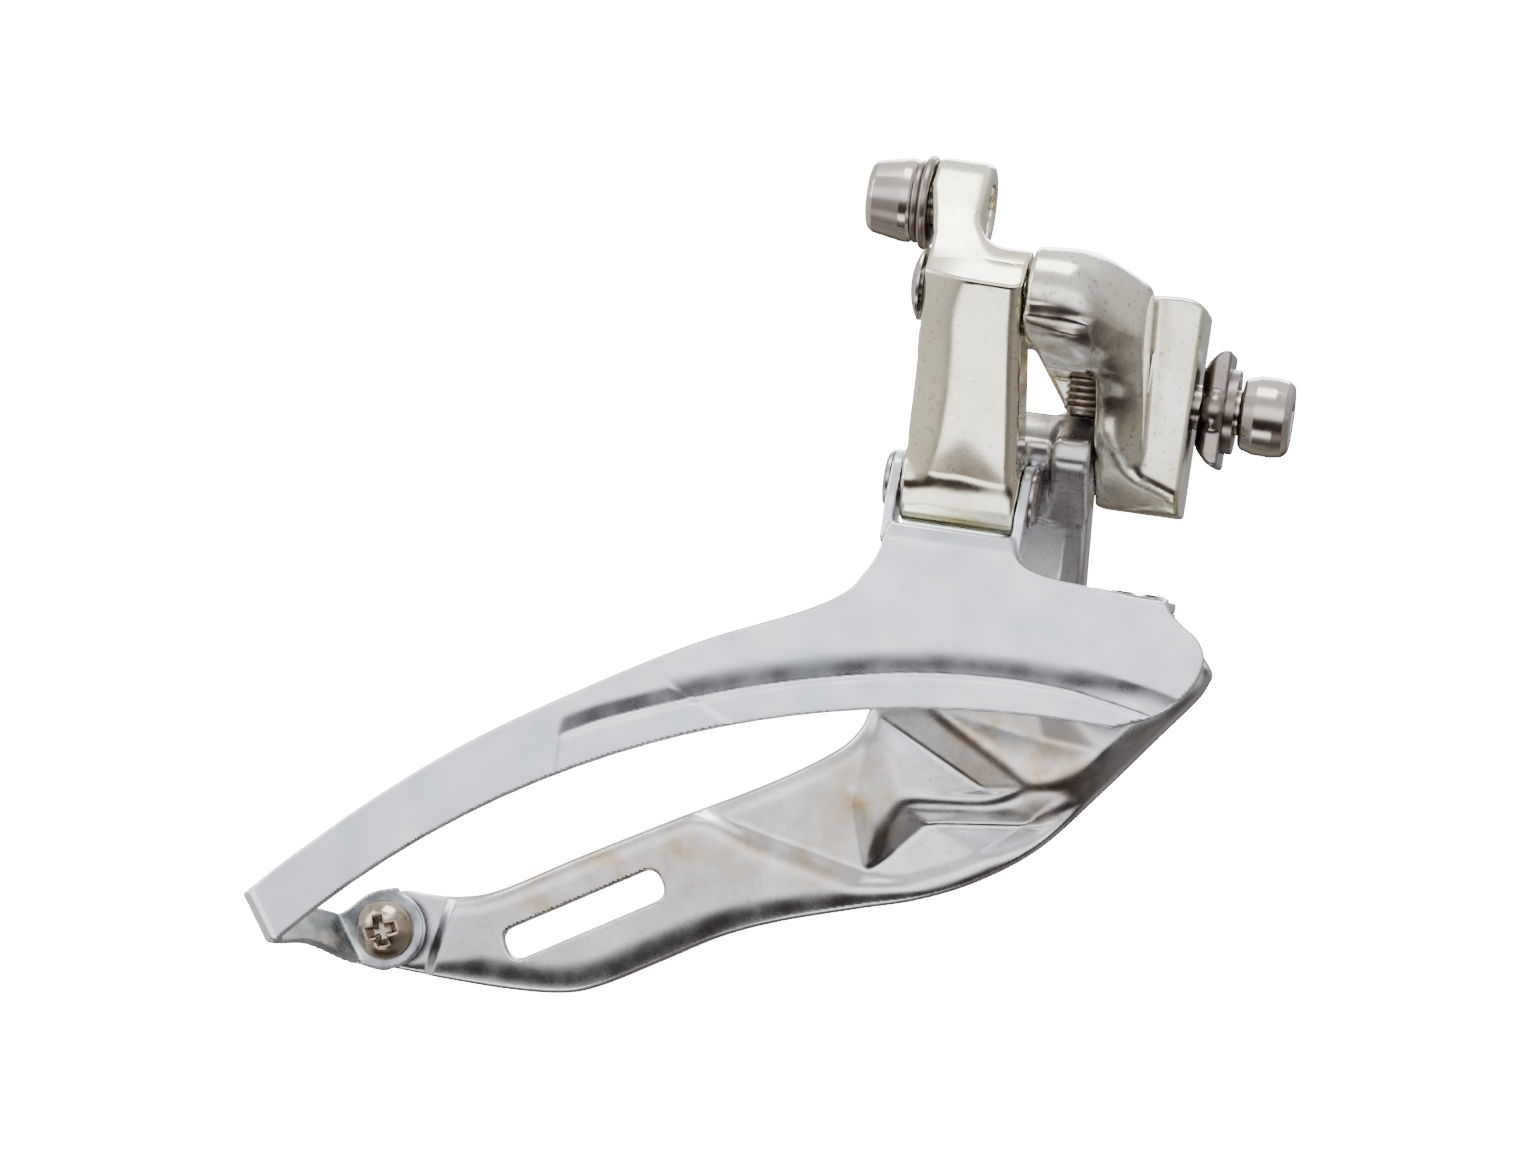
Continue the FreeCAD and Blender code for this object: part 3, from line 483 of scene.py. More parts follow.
INNER_STEEL = metal("plated_inner_steel", (0.70, 0.72, 0.75), (0.56, 0.56, 0.57), (0.18, 0.30),
                    patch=150.0, grain=(12.0, 1.0, 1.0), grain_turn=(0, math.radians(-8), 0),
                    grain_depth=9.0, ripple=24.0, speck=(0.46, 0.42, 0.38),
                    stains_and_shade=[((0.42, 0.27, 0.12), [(-30.5, 1.5, -47.5), (-10.5, 0, -41.0),
                                                  (-18.0, 0, -39.5)], 7.5),
                            ((0.46, 0.33, 0.18), [(-50, 0.5, -57), (-57, 0.5, -59),
                                                  (-64, 0.5, -63), (-42, 0.5, -54),
                                                  (-35, 0.5, -55)], 6.5),
                            # painted shade: near-black spots along the step down into the pocket
                            # above the lower rim
                            ((0.10, 0.09, 0.09), [(-8.2, 0.5, -45.3), (-11.5, 0.5, -46.4),
                                                  (-15.0, 0.5, -47.6)], 2.6)])
BUSH = metal("bush_polymer", (0.05, 0.05, 0.055), (0.08, 0.08, 0.08), (0.5, 0.7))
BUSH.node_tree.nodes["Principled BSDF"].inputs["Metallic"].default_value = 0.0

# the nodes that keep their CAD mesh
CARRIED = {
    "flat_washer": CLAMP, "cable_clamp_plate": CLAMP, "cable_bolt_washer": CLAMP,
    "upper_outer_pin": PIN, "upper_inner_pin": PIN, "lower_outer_pin": PIN,
    "lower_inner_pin": PIN, "rear_bridge_rivet": PIN, "front_bridge_rivet": PIN,
    "return_spring": SPRING, "high_limit_screw": LIMIT, "low_limit_screw": LIMIT,
    "outer_link_upper_bush": BUSH, "outer_link_lower_bush": BUSH,
    "inner_link_upper_bush": BUSH, "inner_link_lower_bush": BUSH,
    "cage_nut": SCREW,
}
for node, material in CARRIED.items():
    node_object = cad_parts[node]
    node_object.data.materials.clear()
    node_object.data.materials.append(material)


# ---------------- outer link

# the cable bolt's axis from the upper pivot, in the link's own frame
ARM_REACH = (11.46, 4.17)
ARM_RADIUS = 5.0
LINK_LEFT, LINK_RIGHT = -28.25, -17.4
KNUCKLE_RADIUS = 4.8
# how far outboard the block goes that the front face is cut from
LINK_FRONT = -6.5
LINK_FOOT_RADIUS = 4.3
LINK_FOOT_SPAN = (-29.15, -16.8)
# X of the hollow's deepest line on the front face
FACE_MIDDLE = -22.7
# the cable's groove: its X, its distance inboard of the bolt's axis, and its radius
CABLE_X, CABLE_ASIDE, CABLE_RADIUS = -29.35, 3.3, 0.65


# where the left bevel of the front face starts: (place up the link, X)
BEVEL_START = curve([(-25.0, -27.9), (-22.6, -27.4), (-19.8, -26.8), (-13.3, -26.2),
                     (-5.0, -25.4), (-0.7, -25.0), (2.2, -24.4), (4.0, -23.6), (5.2, -22.6)], 6)


def outer_link_field(x, y, z):
    u, w = link_frame(y, z, PIVOT_A)
    along_arm = (u * ARM_REACH[0] + w * ARM_REACH[1]) / math.hypot(*ARM_REACH)
    spread_down = held((-w - 2.0) / 14.0)
    left = LINK_LEFT - 0.85 * spread_down
    right = LINK_RIGHT + 0.6 * spread_down
    # front face: gently crowned, beveled on the left, hollowed above the foot
    start = np.interp(w, BEVEL_START[:, 0], BEVEL_START[:, 1])
    lean = 0.62 - 0.32 * held((w + 10.0) / 8.0)
    cut = lean * eased(start + 0.35 - x, 1.3) * held((7.0 - along_arm) / 7.0)
    aside = np.sqrt((x - FACE_MIDDLE) ** 2 + 1.2) - 1.1
    aside = aside * (1.18 - 0.18 * np.tanh(x - FACE_MIDDLE))
    hollow = 0.12 * eased(-15.4 - w - aside, 1.6)
    crown = 0.010 * (x + 22.0) ** 2
    front = -u - KNUCKLE_RADIUS + 0.020 * np.clip(-w, 0, 30) + cut + hollow + crown
    front = smax(front, 0.80 * front + 0.60 * (x - right + 0.8), 0.5)
    # the arm's sloping front runs on down to meet the front face in an eased corner
    slope = (w * ARM_REACH[0] - u * ARM_REACH[1]) / math.hypot(*ARM_REACH)
    slope = slope - 4.75 - 0.02 * along_arm + 0.55 * cut + 0.006 * (x + 24.0) ** 2
    shank = all_of(0.8, left - x, x - right, u - 2.3 + 0.02 * w, LINK_FRONT - u, -LINK - w,
                   w - 1.5)
    back = smax(np.hypot(u, w) - KNUCKLE_RADIUS, -1.7 - u, 0.1)
    wedge = all_of(0.1, w - 4.5, -1.0 - w, u + 1.5, LINK_FRONT - u)
    knuckle = all_of(0.6, np.minimum(back, wedge), LINK_LEFT - x, x - LINK_RIGHT)
    body = smin(shank, knuckle, 0.8)
    body = smax(body, u - KNUCKLE_RADIUS, 0.3)
    arm_left = LINK_LEFT - 1.75 * held((along_arm - 3.5) / 7.0)
    arm = stadium(u, w, (0, 0), ARM_REACH, ARM_RADIUS, ARM_RADIUS)
    arm = smax(smax(arm, arm_left - x, 0.9), x + 23.8, 1.2)
    body = smin(body, arm, 3.8)
    body = all_of(0.5, body, x - right, np.where(w > 0, arm_left, left) - x)
    body = smax(body, smax(front, slope, 0.4), 0.5)
    foot = barrel(x, u, w, (0, -LINK), LINK_FOOT_RADIUS, LINK_FOOT_SPAN, 0.5)
    foot = smax(foot, -3.95 - u, 0.4)
    body = smin(body, foot, 1.0)
    # room for the pin head, the two bushes, the cable bolt and its groove
    head_room = smax(np.hypot(u, w) - 4.7, x + 28.3, 0.2)
    body = smax(body, -head_room, 0.2)
    bores = (((0, 0), OUTER_BUSH_RADIUS), ((0, -LINK), OUTER_BUSH_RADIUS),
             (ARM_REACH, BOLT_RADIUS))
    for centre, radius in bores:
        body = smax(body, radius - from_axis(u, w, centre), 0.15)
    sink = from_axis(u, w, ARM_REACH) - 3.3 + (-23.3 - x)
    body = smax(body, -sink, 0.3)
    cable = ARM_REACH[0] + CABLE_ASIDE
    groove = np.hypot(x - CABLE_X, u - cable) - CABLE_RADIUS
    slot = smax(np.abs(u - cable) - CABLE_RADIUS, x - CABLE_X, 0.05)
    return smax(body, -np.minimum(groove, slot), 0.1)


# ---------------- bracket

BARREL_LEFT = -17.15
RIB_LEFT = -9.6
MOUNT_RADIUS = 16.0
REAR_EAR_SPAN = (-27.0, -24.7)
WING_TOP = 5.8
LIMIT_SCREW_X, LIMIT_SCREWS_Y, LIMIT_BORE = -11.6, (-7.2, 1.2), 2.06
SCREW_SEAT, SCREW_SEAT_RADIUS = 9.0, 3.6
# the forging's front: a bar that runs along the barrel, bends and runs down: (X, Y, Z, radius)
BEND = np.array([(-20.0, -19.1, 8.3, 5.1), (-11.8, -19.1, 8.3, 5.1), (-8.4, -15.8, 4.4, 3.6),
                 (-7.0, -9.6, -3.5, 3.0), (-6.3, -6.3, -13.0, 3.0)])


def bent_bar(x, y, z):
    """The bar along BEND: a chain of cones with eased joints."""
    solid = None
    for a, b in zip(BEND[:-1], BEND[1:]):
        run = b[:3] - a[:3]
        t = ((x - a[0]) * run[0] + (y - a[1]) * run[1] + (z - a[2]) * run[2]) / run.dot(run)
        t = held(t)
        away = np.sqrt((x - a[0] - t * run[0]) ** 2 + (y - a[1] - t * run[1]) ** 2
                       + (z - a[2] - t * run[2]) ** 2)
        cone = away - a[3] - t * (b[3] - a[3])
        solid = cone if solid is None else smin(solid, cone, 2.2)
    return solid


TOP_LINE = curve([(-20, 11.0), (-12, 11.6), (-8.5, 11.4), (-6.0, 10.8), (-4.0, 10.9),
                  (-1.8, 10.9), (0.0, 10.3), (1.8, 9.0)], 6)


def bracket_field(x, y, z):
    # right of its crest the bar runs on, falling back, to the groove beside the rib
    height = np.tanh((z - 4.0) / 4.5)
    crest = -8.6 - 1.4 * height
    past = eased(x - crest, 3.2) - 0.4
    fall = 1.25 + 0.36 * height
    drop = 0.26 + 0.28 * height
    bx, by, bz = x - past, y - fall * past, z + drop * past
    flat = all_of(0.2, -0.956 * (by + 24.0) - 0.292 * (bz - 6.81), 4.6 - bz, bz - 6.9,
                  by + 17.0, -17.3 - bx)
    bar = smin(bent_bar(bx, by, bz), smax(flat, x + 10.9, 1.2), 0.4)
    groove = 4.9 + 0.06 * (z - 4.0)
    bar = all_of(0.8, bar, BARREL_LEFT - x, x + groove)
    top = np.interp(x, TOP_LINE[:, 0], TOP_LINE[:, 1])
    rib_front = -8.8 + 0.03 * (x + 2.0) ** 2
    right = -0.04 * np.clip(y + 2.0, 0, 9)
    column = all_of(0.7, rib_front - y, RIB_LEFT - x, x - right, y - 7.0, z - top, -12.3 - z)
    solid = smin(bar, column, 0.9)
    # the groove is deepest half-way down
    t = held((4.0 - z) / 6.5)
    hollow = np.hypot(x + 5.7 - 0.6 * t, y + 9.4 - 0.5 * t) - 0.9 + 0.8 * t
    solid = smax(solid, -all_of(0.4, hollow, z - 4.6, -3.0 - z), 0.5)
    edge = -7.9 - 0.36 * (x + 8.4)
    under_cut = -0.55 * (y + 8.3) - 0.835 * (z - edge)
    solid = smax(solid, under_cut, 1.1)
    solid = all_of(0.4, solid, -12.2 - z, -9.65 - x - 9.0 * held((z - 1.2) / 2.0))
    # the high screw's boss under the barrel, its face sweeping back
    sweep = -0.61 * (y + 22.4) - 0.79 * (z - 4.7)
    slant = -0.85 * (x + 16.3) - 0.52 * (z - 3.4)
    front = -0.956 * (y + 23.9) - 0.292 * (z - 6.81)
    boss = all_of(0.3, sweep, slant, front, -16.9 - x, x + 10.4, y + 3.0, z - 5.6, 1.0 - z)
    solid = smin(solid, boss, 0.9)
    # low-screw boss, its rear side slanted
    slant = (-13.6 - x) * 0.81 + (-2.4 - z) * 0.58
    low_boss = all_of(0.6, slant, -2.4 - z, z - 9.0, slab(y, -5.1, 4.6), x + 8.0)
    solid = smin(solid, low_boss, 0.5)
    # wing and rear ear behind the outer link
    wing = block(x, y, z, (REAR_EAR_SPAN[0], -12.0), (-8.8, 1.0), (3.8, WING_TOP), 0.6)
    ear_plan = stadium(y, z, PIVOT_B, (-3.9, 2.0), 3.5, 4.6)
    ear = all_of(0.5, ear_plan, slab(x, *REAR_EAR_SPAN), z - WING_TOP)
    solid = smin(solid, smin(wing, ear, 0.8), 0.8)
    # mounting face, holes
    solid = smax(solid, -(np.hypot(x - MOUNT_RADIUS, y) - MOUNT_RADIUS), 0.3)
    bolt = all_of(0.1, np.hypot(y, z) - BOLT_RADIUS, -9.1 - x)
    pin_a = all_of(0.1, from_axis(y, z, PIVOT_A) - PIN_RADIUS, x + 8.7)
    pin_b = all_of(0.1, from_axis(y, z, PIVOT_B) - PIN_RADIUS, x + 4.3)
    for hole in (bolt, pin_a, pin_b):
        solid = smax(solid, -hole, 0.15)
    for across in LIMIT_SCREWS_Y:
        away = np.hypot(x - LIMIT_SCREW_X, y - across)
        solid = smax(solid, LIMIT_BORE - away, 0.1)
        solid = smax(solid, -smax(away - SCREW_SEAT_RADIUS, SCREW_SEAT - z, 0.1), 0.2)
    return solid


# ---------------- inner link

INNER_LEFT, INNER_RIGHT = -19.3, -9.8
INNER_RADIUS = 3.3


def inner_link_field(x, y, z):
    dy, dz = y - PIVOT_B[0], z - PIVOT_B[1]
    u, w = link_frame(y, z, PIVOT_B)
    ridge = 0.22 * np.abs(x + 11.6 - 0.06 * w)
    rear = -18.1 + 1.8 * held((-w - 14.5) / 3.0)
    shank = all_of(0.7, -2.9 - u + ridge, u - 2.5, rear - x, x - INNER_RIGHT,
                   slab(w, -LINK, 0))
    head = barrel(x, u, w, (0, 0), INNER_RADIUS, (INNER_LEFT, INNER_RIGHT), 0.4)
    foot = barrel(x, u, w, (0, -LINK), INNER_RADIUS, (-16.5, INNER_RIGHT), 0.4)
    shelf = all_of(0.35, dz - 4.2, slab(dy, -1.9, 6.0), slab(x, INNER_LEFT, INNER_RIGHT),
                   0.9 - dz)
    # apron below the shelf, its left edge swept in to the shank
    apron = all_of(1.0, slab(u, -2.9, 1.5), -19.2 - x, x + 13.2, w - 2.6, -6.5 - w)
    nose = all_of(0.9, -0.515 * dy + 0.857 * dz - 4.25, slab(x, -14.0, INNER_RIGHT),
                  -5.9 - dy, dy - 0.5, -1.2 - dz - 0.9 * (dy + 5.8))
    solid = smin(smin(smin(head, apron, 1.5), shank, 1.2), foot, 0.8)
    solid = smin(smin(solid, shelf, 1.2), nose, 1.0)
    for centre in ((0, 0), (0, -LINK)):
        solid = smax(solid, INNER_BUSH_RADIUS - from_axis(u, w, centre), 0.15)
    return solid


# ---------------- cage plates

OUTER_FACE = -12.8
INNER_FACE = 0.4
SHEET = 1.15
MAP_STEP = 0.12
# the circle of the outer plate's lower edge
ARC_X, ARC_Z, ARC_RADIUS = -8.2, -144.86, 109.6
BRIDGE_SPAN = (-6.5, 0.6)
RIVETS_X, RIVETS_Y, RIVET_RADIUS = (-4.6, -1.2), -5.5, 1.0
TAIL_BORE = 2.0
EAR_RADIUS = 3.4
OUTER_EARS = (-30.6, -16.55)
INNER_EARS = (-17.95, -9.5)
NECK_SPAN = (-29.4, -16.6)
# the neck is rolled round the lower outer pin at this radius
NECK_ROLL = 5.35


def on_lower_arc(x):
    """Height of the lower edge's circle."""
    return ARC_Z + math.sqrt(ARC_RADIUS ** 2 - (x - ARC_X) ** 2)


def arc_points(x_from, x_to, count=24):
    """Points of the lower edge, from left to right."""
    return [(x, on_lower_arc(x)) for x in np.linspace(x_from, x_to, count)]


OUTER_OUTLINE = np.vstack([
    arc_points(-90.1, -3.0),
    curve([(-3.0, on_lower_arc(-3.0)), (1.8, -33.2), (4.7, -30.0), (5.5, -27.0), (4.6, -24.9),
           (2.8, -23.6), (1.4, -22.5)]),
    curve([(0.6, -21.4), (-3.0, -21.3), (-7.9, -20.9), (-12.3, -20.5), (-15.2, -19.4),
           (-16.2, -17.3)]),
    [(-16.3, -17.3), (-29.7, -17.3)],
    curve([(-29.8, -17.4), (-30.4, -20.6), (-31.8, -23.3), (-33.4, -25.3), (-37.7, -27.9),
           (-48.0, -32.6), (-58.2, -38.4), (-70.5, -46.2), (-80.6, -54.1), (-89.6, -62.4),
           (-93.5, -66.4)]),
    [(-93.95, -67.1), (-90.4, -71.9)],
])
STEP_LINE = curve([(-62.4, -45.2), (-57.0, -42.4), (-48.2, -38.9), (-40.9, -36.4),
                   (-32.5, -34.2), (-24.0, -32.6), (-15.5, -31.9), (-9.1, -32.0),
                   (-4.5, -32.6), (1.0, -33.6), (6.0, -35.0)])


def outer_maps():
    area = ((-96.0, -75.0), (8.0, -14.0))
    outline = Map(*area, MAP_STEP)
    outline.fill(outline_field(OUTER_OUTLINE, outline.u, outline.w))
    relief = Map(*area, MAP_STEP)
    below = -line_field(STEP_LINE, relief.u, relief.w)
    ramp = held(((relief.u + 46.2) + 2.2 * (relief.w + 40.0)) / 1.2)
    width = 1.9 + 0.9 * ramp
    run = held((below + width) / width)
    even = np.where(run < 0.3, run ** 2 / 0.6, run - 0.15)
    roll = 0.54 * even * (1 - ramp) + 0.55 * run ** 2 * ramp
    line = 0.16 * held(below / 0.5)
    start = held((relief.u + 62.1) / 0.7)
    end = 0.7 * held((relief.u + 9.0) / 9.0) * run
    relief.fill((roll - line + end) * start).blur(0.13)
    neck = 0.9 * held((relief.w + 19.4) / 2.2) ** 2
    relief.values = relief.values + neck * (relief.u < -14) * (relief.u > -32)
    return outline, relief


OUTLINE_MAP, RELIEF_MAP = outer_maps()


# the tail strip's edge direction, its run inboard, and its normal, as a dual basis
TAIL_EDGE, TAIL_RUN = np.array([3.5, 0.0, -4.9]), np.array([6.6, 11.6, -2.0])
TAIL_NORMAL = np.cross(TAIL_EDGE, TAIL_RUN) / np.linalg.norm(np.cross(TAIL_EDGE, TAIL_RUN))
TAIL_AXES = np.linalg.inv(np.column_stack([TAIL_EDGE, TAIL_RUN, TAIL_NORMAL]))


def with_ears(plate, x, y, z, lefts, pivot, root, root_radius, y_start, fillet):
    """The plate with ears that start at y_start and carry a pin at the pivot."""
    lug = stadium(y, z, pivot, root, EAR_RADIUS, root_radius)
    for left in lefts:
        ear = all_of(0.3, slab(x, left, left + SHEET), lug, y_start - y)
        ear = smax(ear, PIN_RADIUS - from_axis(y, z, pivot), 0.1)
        plate = smin(plate, ear, fillet)
    return plate


def with_rivet_holes(plate, x, y, z, low, high):
    """The plate with the bridge rivets' two holes, cut between two heights."""
    for spot in RIVETS_X:
        hole = smax(np.hypot(x - spot, y - RIVETS_Y) - RIVET_RADIUS, slab(z, low, high), 0.05)
        plate = smax(plate, -hole, 0.1)
    return plate


def outer_plate_field(x, y, z):
    edge = OUTLINE_MAP(x, z)
    inward = RELIEF_MAP(x, z)
    middle = OUTER_FACE + 0.5 * SHEET + inward
    plate = smax(np.abs(y - middle) - 0.5 * SHEET, edge, 0.25)
    # ears folded inboard beside the neck
    plate = with_ears(plate, x, y, z, OUTER_EARS, PIVOT_C, (-10.4, -17.2), 2.2,
                      OUTER_FACE + 1.0, 0.5)
    # bridge flange over the chain path
    bridge = block(x, y, z, BRIDGE_SPAN, (OUTER_FACE + 1.0, 1.7), (-22.45, -21.3), 0.25)
    plate = smin(plate, bridge, 0.9)
    # the neck is rolled inboard under the outer link's foot
    roll = from_axis(y, z, PIVOT_C)
    trough = all_of(0.3, np.abs(roll - NECK_ROLL) - 0.5 * SHEET, slab(x, *NECK_SPAN),
                    z + 14.6, -8.2 - y)
    lip = block(x, y, z, NECK_SPAN, (OUTER_FACE + 0.5, -7.6), (-18.4, -17.25), 0.3)
    plate = smin(smin(plate, lip, 0.9), trough, 0.5)
    plate = with_rivet_holes(plate, x, y, z, -25.0, -20.0)
    # strip across the tail, running inboard and forward to the screw tab
    edge_part, cross_part, off = [
        row[0] * (x + 93.9) + row[1] * (y + 12.5) + row[2] * (z + 67.0) for row in TAIL_AXES]
    bow = 0.17 * np.sin(math.pi * held(cross_part)) ** 2
    strip = all_of(0.25, np.abs(off) - 0.5 * SHEET, 6.0 * slab(edge_part, 0.0, 1.0 - bow),
                   13.6 * slab(cross_part, -0.02, 1.0))
    plate = smin(plate, strip, 0.4)
    away = from_axis(x, z, TAIL_SCREW) - 4.4
    wedge = all_of(0.3, -0.842 * (x + 87.1) - 0.54 * (z + 69.0), 0.85 * (z + 66.1)
                   - 0.53 * (x + 82.1), -74.0 - z, x + 80.5)
    tab = all_of(0.2, smin(away, wedge, 1.0), slab(y, -1.05, 0.1))
    plate = smin(plate, tab, 0.4)
    screw = from_axis(x, z, TAIL_SCREW) - TAIL_BORE
    return smax(plate, -smax(screw, -3.0 - y, 0.05), 0.1)


LOWER_EDGE = curve([(5.5, -28.8), (4.4, -31.2), (0.8, -35.9), (-4.8, -43.2), (-10.4, -49.9),
                    (-16.4, -54.4), (-22.6, -57.4), (-29.0, -59.4), (-37.6, -62.2),
                    (-44.0, -65.0), (-50.3, -68.8), (-56.6, -72.5), (-61.0, -73.9),
                    (-67.8, -74.4), (-76.0, -74.3), (-84.0, -74.0)])
INNER_OUTLINE = np.vstack([
    LOWER_EDGE,
    [(-86.2, -70.5), (-84.8, -67.6)],
    curve([(-82.1, -66.0), (-79.6, -65.3), (-77.0, -65.3), (-73.5, -65.0), (-69.1, -63.5),
           (-60.6, -58.4), (-49.1, -51.8), (-42.8, -48.3), (-37.6, -45.1), (-33.5, -42.0),
           (-31.7, -39.5), (-30.6, -36.5), (-26.0, -30.0), (-20.5, -25.0), (-19.0, -24.4)]),
    [(-7.0, -24.4), (-6.5, -22.5), (0.6, -22.5)],
    curve([(0.7, -23.0), (1.5, -24.3), (3.9, -26.1), (5.1, -27.4), (5.5, -28.4)]),
])
# relief of the inner plate: point name, (X, Z, height outboard of the plate's plane)
RELIEF_POINTS = {
    "tail_low": (-84.0, -76.0, 0.0), "tail_top": (-84.0, -62.0, 0.0),
    "mid_low": (-55.0, -76.0, 0.0), "mid_top": (-56.0, -50.0, 0.0),
    "crease_top_out": (-50.3, -51.2, 0.0), "crease_top": (-47.6, -51.3, -0.8),
    "crease_mid_out": (-39.9, -55.2, 0.0), "crease_mid": (-38.9, -53.2, -1.0),
    "crease_end_out": (-29.8, -57.2, 0.0), "crease_end": (-28.9, -55.2, -1.1),
    "upper_edge": (-40.0, -44.5, -0.9), "upper_corner": (-30.6, -38.0, -1.3),
    "ridge_low": (-28.4, -54.2, -0.7), "ridge_mid": (-27.6, -50.1, 0.1),
    "ridge_bend": (-25.4, -46.9, 0.5), "ridge_end": (-15.6, -45.2, 0.3),
    "stain_plain": (-31.5, -47.5, -1.1),
    "valley_low": (-17.0, -44.4, -1.0), "valley_top": (-30.2, -38.0, -1.2),
    "rib_top": (-24.4, -36.4, 0.9), "rib_low": (-11.6, -43.3, 0.9),
    "rib_right": (-4.4, -38.4, 1.0), "rib_far": (-0.6, -34.8, 0.9),
    "dish": (-11.5, -38.0, -0.1), "dish_top": (-14.0, -31.0, 0.2),
    "pocket_left": (-25.0, -48.4, -0.9), "pocket_top": (-22.8, -49.0, -2.0),
    "pocket_right": (-9.9, -47.3, -1.9), "pocket_low": (-20.8, -54.9, -0.5),
    "pocket_fold": (-25.9, -52.6, -1.3),
    "rim_1": (-20.0, -56.4, 0.0), "rim_2": (-13.6, -52.4, 0.0), "rim_3": (-9.0, -48.4, 0.0),
    "rim_4": (-5.4, -43.4, 0.1), "rim_5": (-1.5, -38.2, 0.2), "rim_6": (3.6, -31.4, 0.2),
    "front_low": (8.0, -40.0, 0.0), "front_top": (8.0, -20.0, 0.2), "top": (-20.0, -20.0, 0.0),
    "far_low": (-10.0, -60.0, 0.0), "top_left": (-34.0, -26.0, -0.6),
}
CREASES = [
    ("crease_top_out", "crease_mid_out"), ("crease_mid_out", "crease_end_out"),
    ("crease_top", "crease_mid"), ("crease_mid", "crease_end"),
    ("ridge_low", "ridge_mid"), ("ridge_mid", "ridge_bend"), ("ridge_bend", "ridge_end"),
    ("crease_end", "ridge_low"), ("valley_low", "valley_top"), ("rib_top", "rib_low"),
    ("rib_low", "rib_right"), ("rib_right", "rib_far"), ("pocket_left", "pocket_top"),
    ("pocket_top", "pocket_right"), ("pocket_fold", "pocket_low"),
    ("pocket_left", "pocket_fold"), ("rim_1", "rim_2"), ("rim_2", "rim_3"),
    ("rim_3", "rim_4"), ("rim_4", "rim_5"), ("rim_5", "rim_6"),
    ("crease_end_out", "rim_1"), ("ridge_end", "valley_low"), ("pocket_right", "rim_3"),
]
SLOT_FROM, SLOT_TO = (-66.0, -68.9), (-52.4, -60.6)


def inner_maps():
    area = ((-88.0, -78.0), (9.0, -20.0))
    outline = Map(*area, MAP_STEP)
    outline.fill(outline_field(INNER_OUTLINE, outline.u, outline.w))
    rim = Map(*area, MAP_STEP)
    rim.fill(-line_field(LOWER_EDGE, rim.u, rim.w))
    relief = facet_map(area, MAP_STEP, RELIEF_POINTS, CREASES, 0.25)
    rounded = facet_map(area, MAP_STEP, RELIEF_POINTS, CREASES, 0.9)
    relief.values = smin(relief.values, rounded.values + 0.03, 0.08)
    inside = held(rim.values / 3.0)
    margin = held(1 + outline.values / 2.2) ** 2 * (rim.values > 5)
    relief.values = relief.values * inside - 0.55 * margin * (relief.u < -30)
    joggle = held((-74.6 - relief.u + 0.16 * (relief.w + 69.8)) / 1.1)
    relief.values = relief.values * (1 - joggle) - 0.7 * joggle
    # the lower edge is rolled inboard, wide at the tail and tighter in front
    reach = np.interp(relief.u, [-78.0, -70.0, -45.0, -25.0, -8.0], [1.0, 3.6, 3.4, 2.4, 1.8])
    rolled = np.clip(reach - rim.values, 0, reach)
    relief.values = relief.values - rolled ** 2 / (4.4 * reach)
    relief.blur(0.15)
    return outline, rim, relief


INNER_OUTLINE_MAP, RIM_MAP, INNER_RELIEF_MAP = inner_maps()


def slot_field(x, z):
    """The long slot, a round-ended opening between its two ends."""
    du, dw = SLOT_TO[0] - SLOT_FROM[0], SLOT_TO[1] - SLOT_FROM[1]
    span = math.hypot(du, dw)
    along = ((x - SLOT_FROM[0]) * du + (z - SLOT_FROM[1]) * dw) / span
    side = ((z - SLOT_FROM[1]) * du - (x - SLOT_FROM[0]) * dw) / span
    return all_of(1.6, slab(along, -1.6, span + 1.6), slab(side, -1.75, 1.75))


def inner_plate_field(x, y, z):
    edge = INNER_OUTLINE_MAP(x, z)
    inset = RIM_MAP(x, z)
    face = INNER_FACE - INNER_RELIEF_MAP(x, z)
    shell = smax(face - y, edge, 0.5)
    # behind the sheet everything is hollow but the turned-in rim
    hollow = smax(face + SHEET - y, SHEET - inset, 1.2)
    lip = INNER_FACE + 3.2 - 1.7 * held((-70.0 - x) / 6.0)
    plate = all_of(0.25, shell, -hollow, y - lip)
    plate = smax(plate, -slot_field(x, z), 0.25)
    tab = block(x, y, z, BRIDGE_SPAN, (-8.8, 0.8), (-23.6, -22.5), 0.25)
    plate = smin(plate, tab, 0.5)
    plate = with_rivet_holes(plate, x, y, z, -25.0, -22.0)
    plate = with_ears(plate, x, y, z, INNER_EARS, PIVOT_D, (2.0, -28.5), 3.6, INNER_FACE, 0.8)
    return smax(plate, TAIL_BORE - from_axis(x, z, TAIL_SCREW), 0.1)


def hexagon_field(a, b, across_flats):
    """A hexagon, seen along its axis."""
    turns = [math.radians(d) for d in (0, 60, 120)]
    faces = [np.abs(a * math.cos(t) + b * math.sin(t)) for t in turns]
    return np.maximum(np.maximum(faces[0], faces[1]), faces[2]) - 0.5 * across_flats


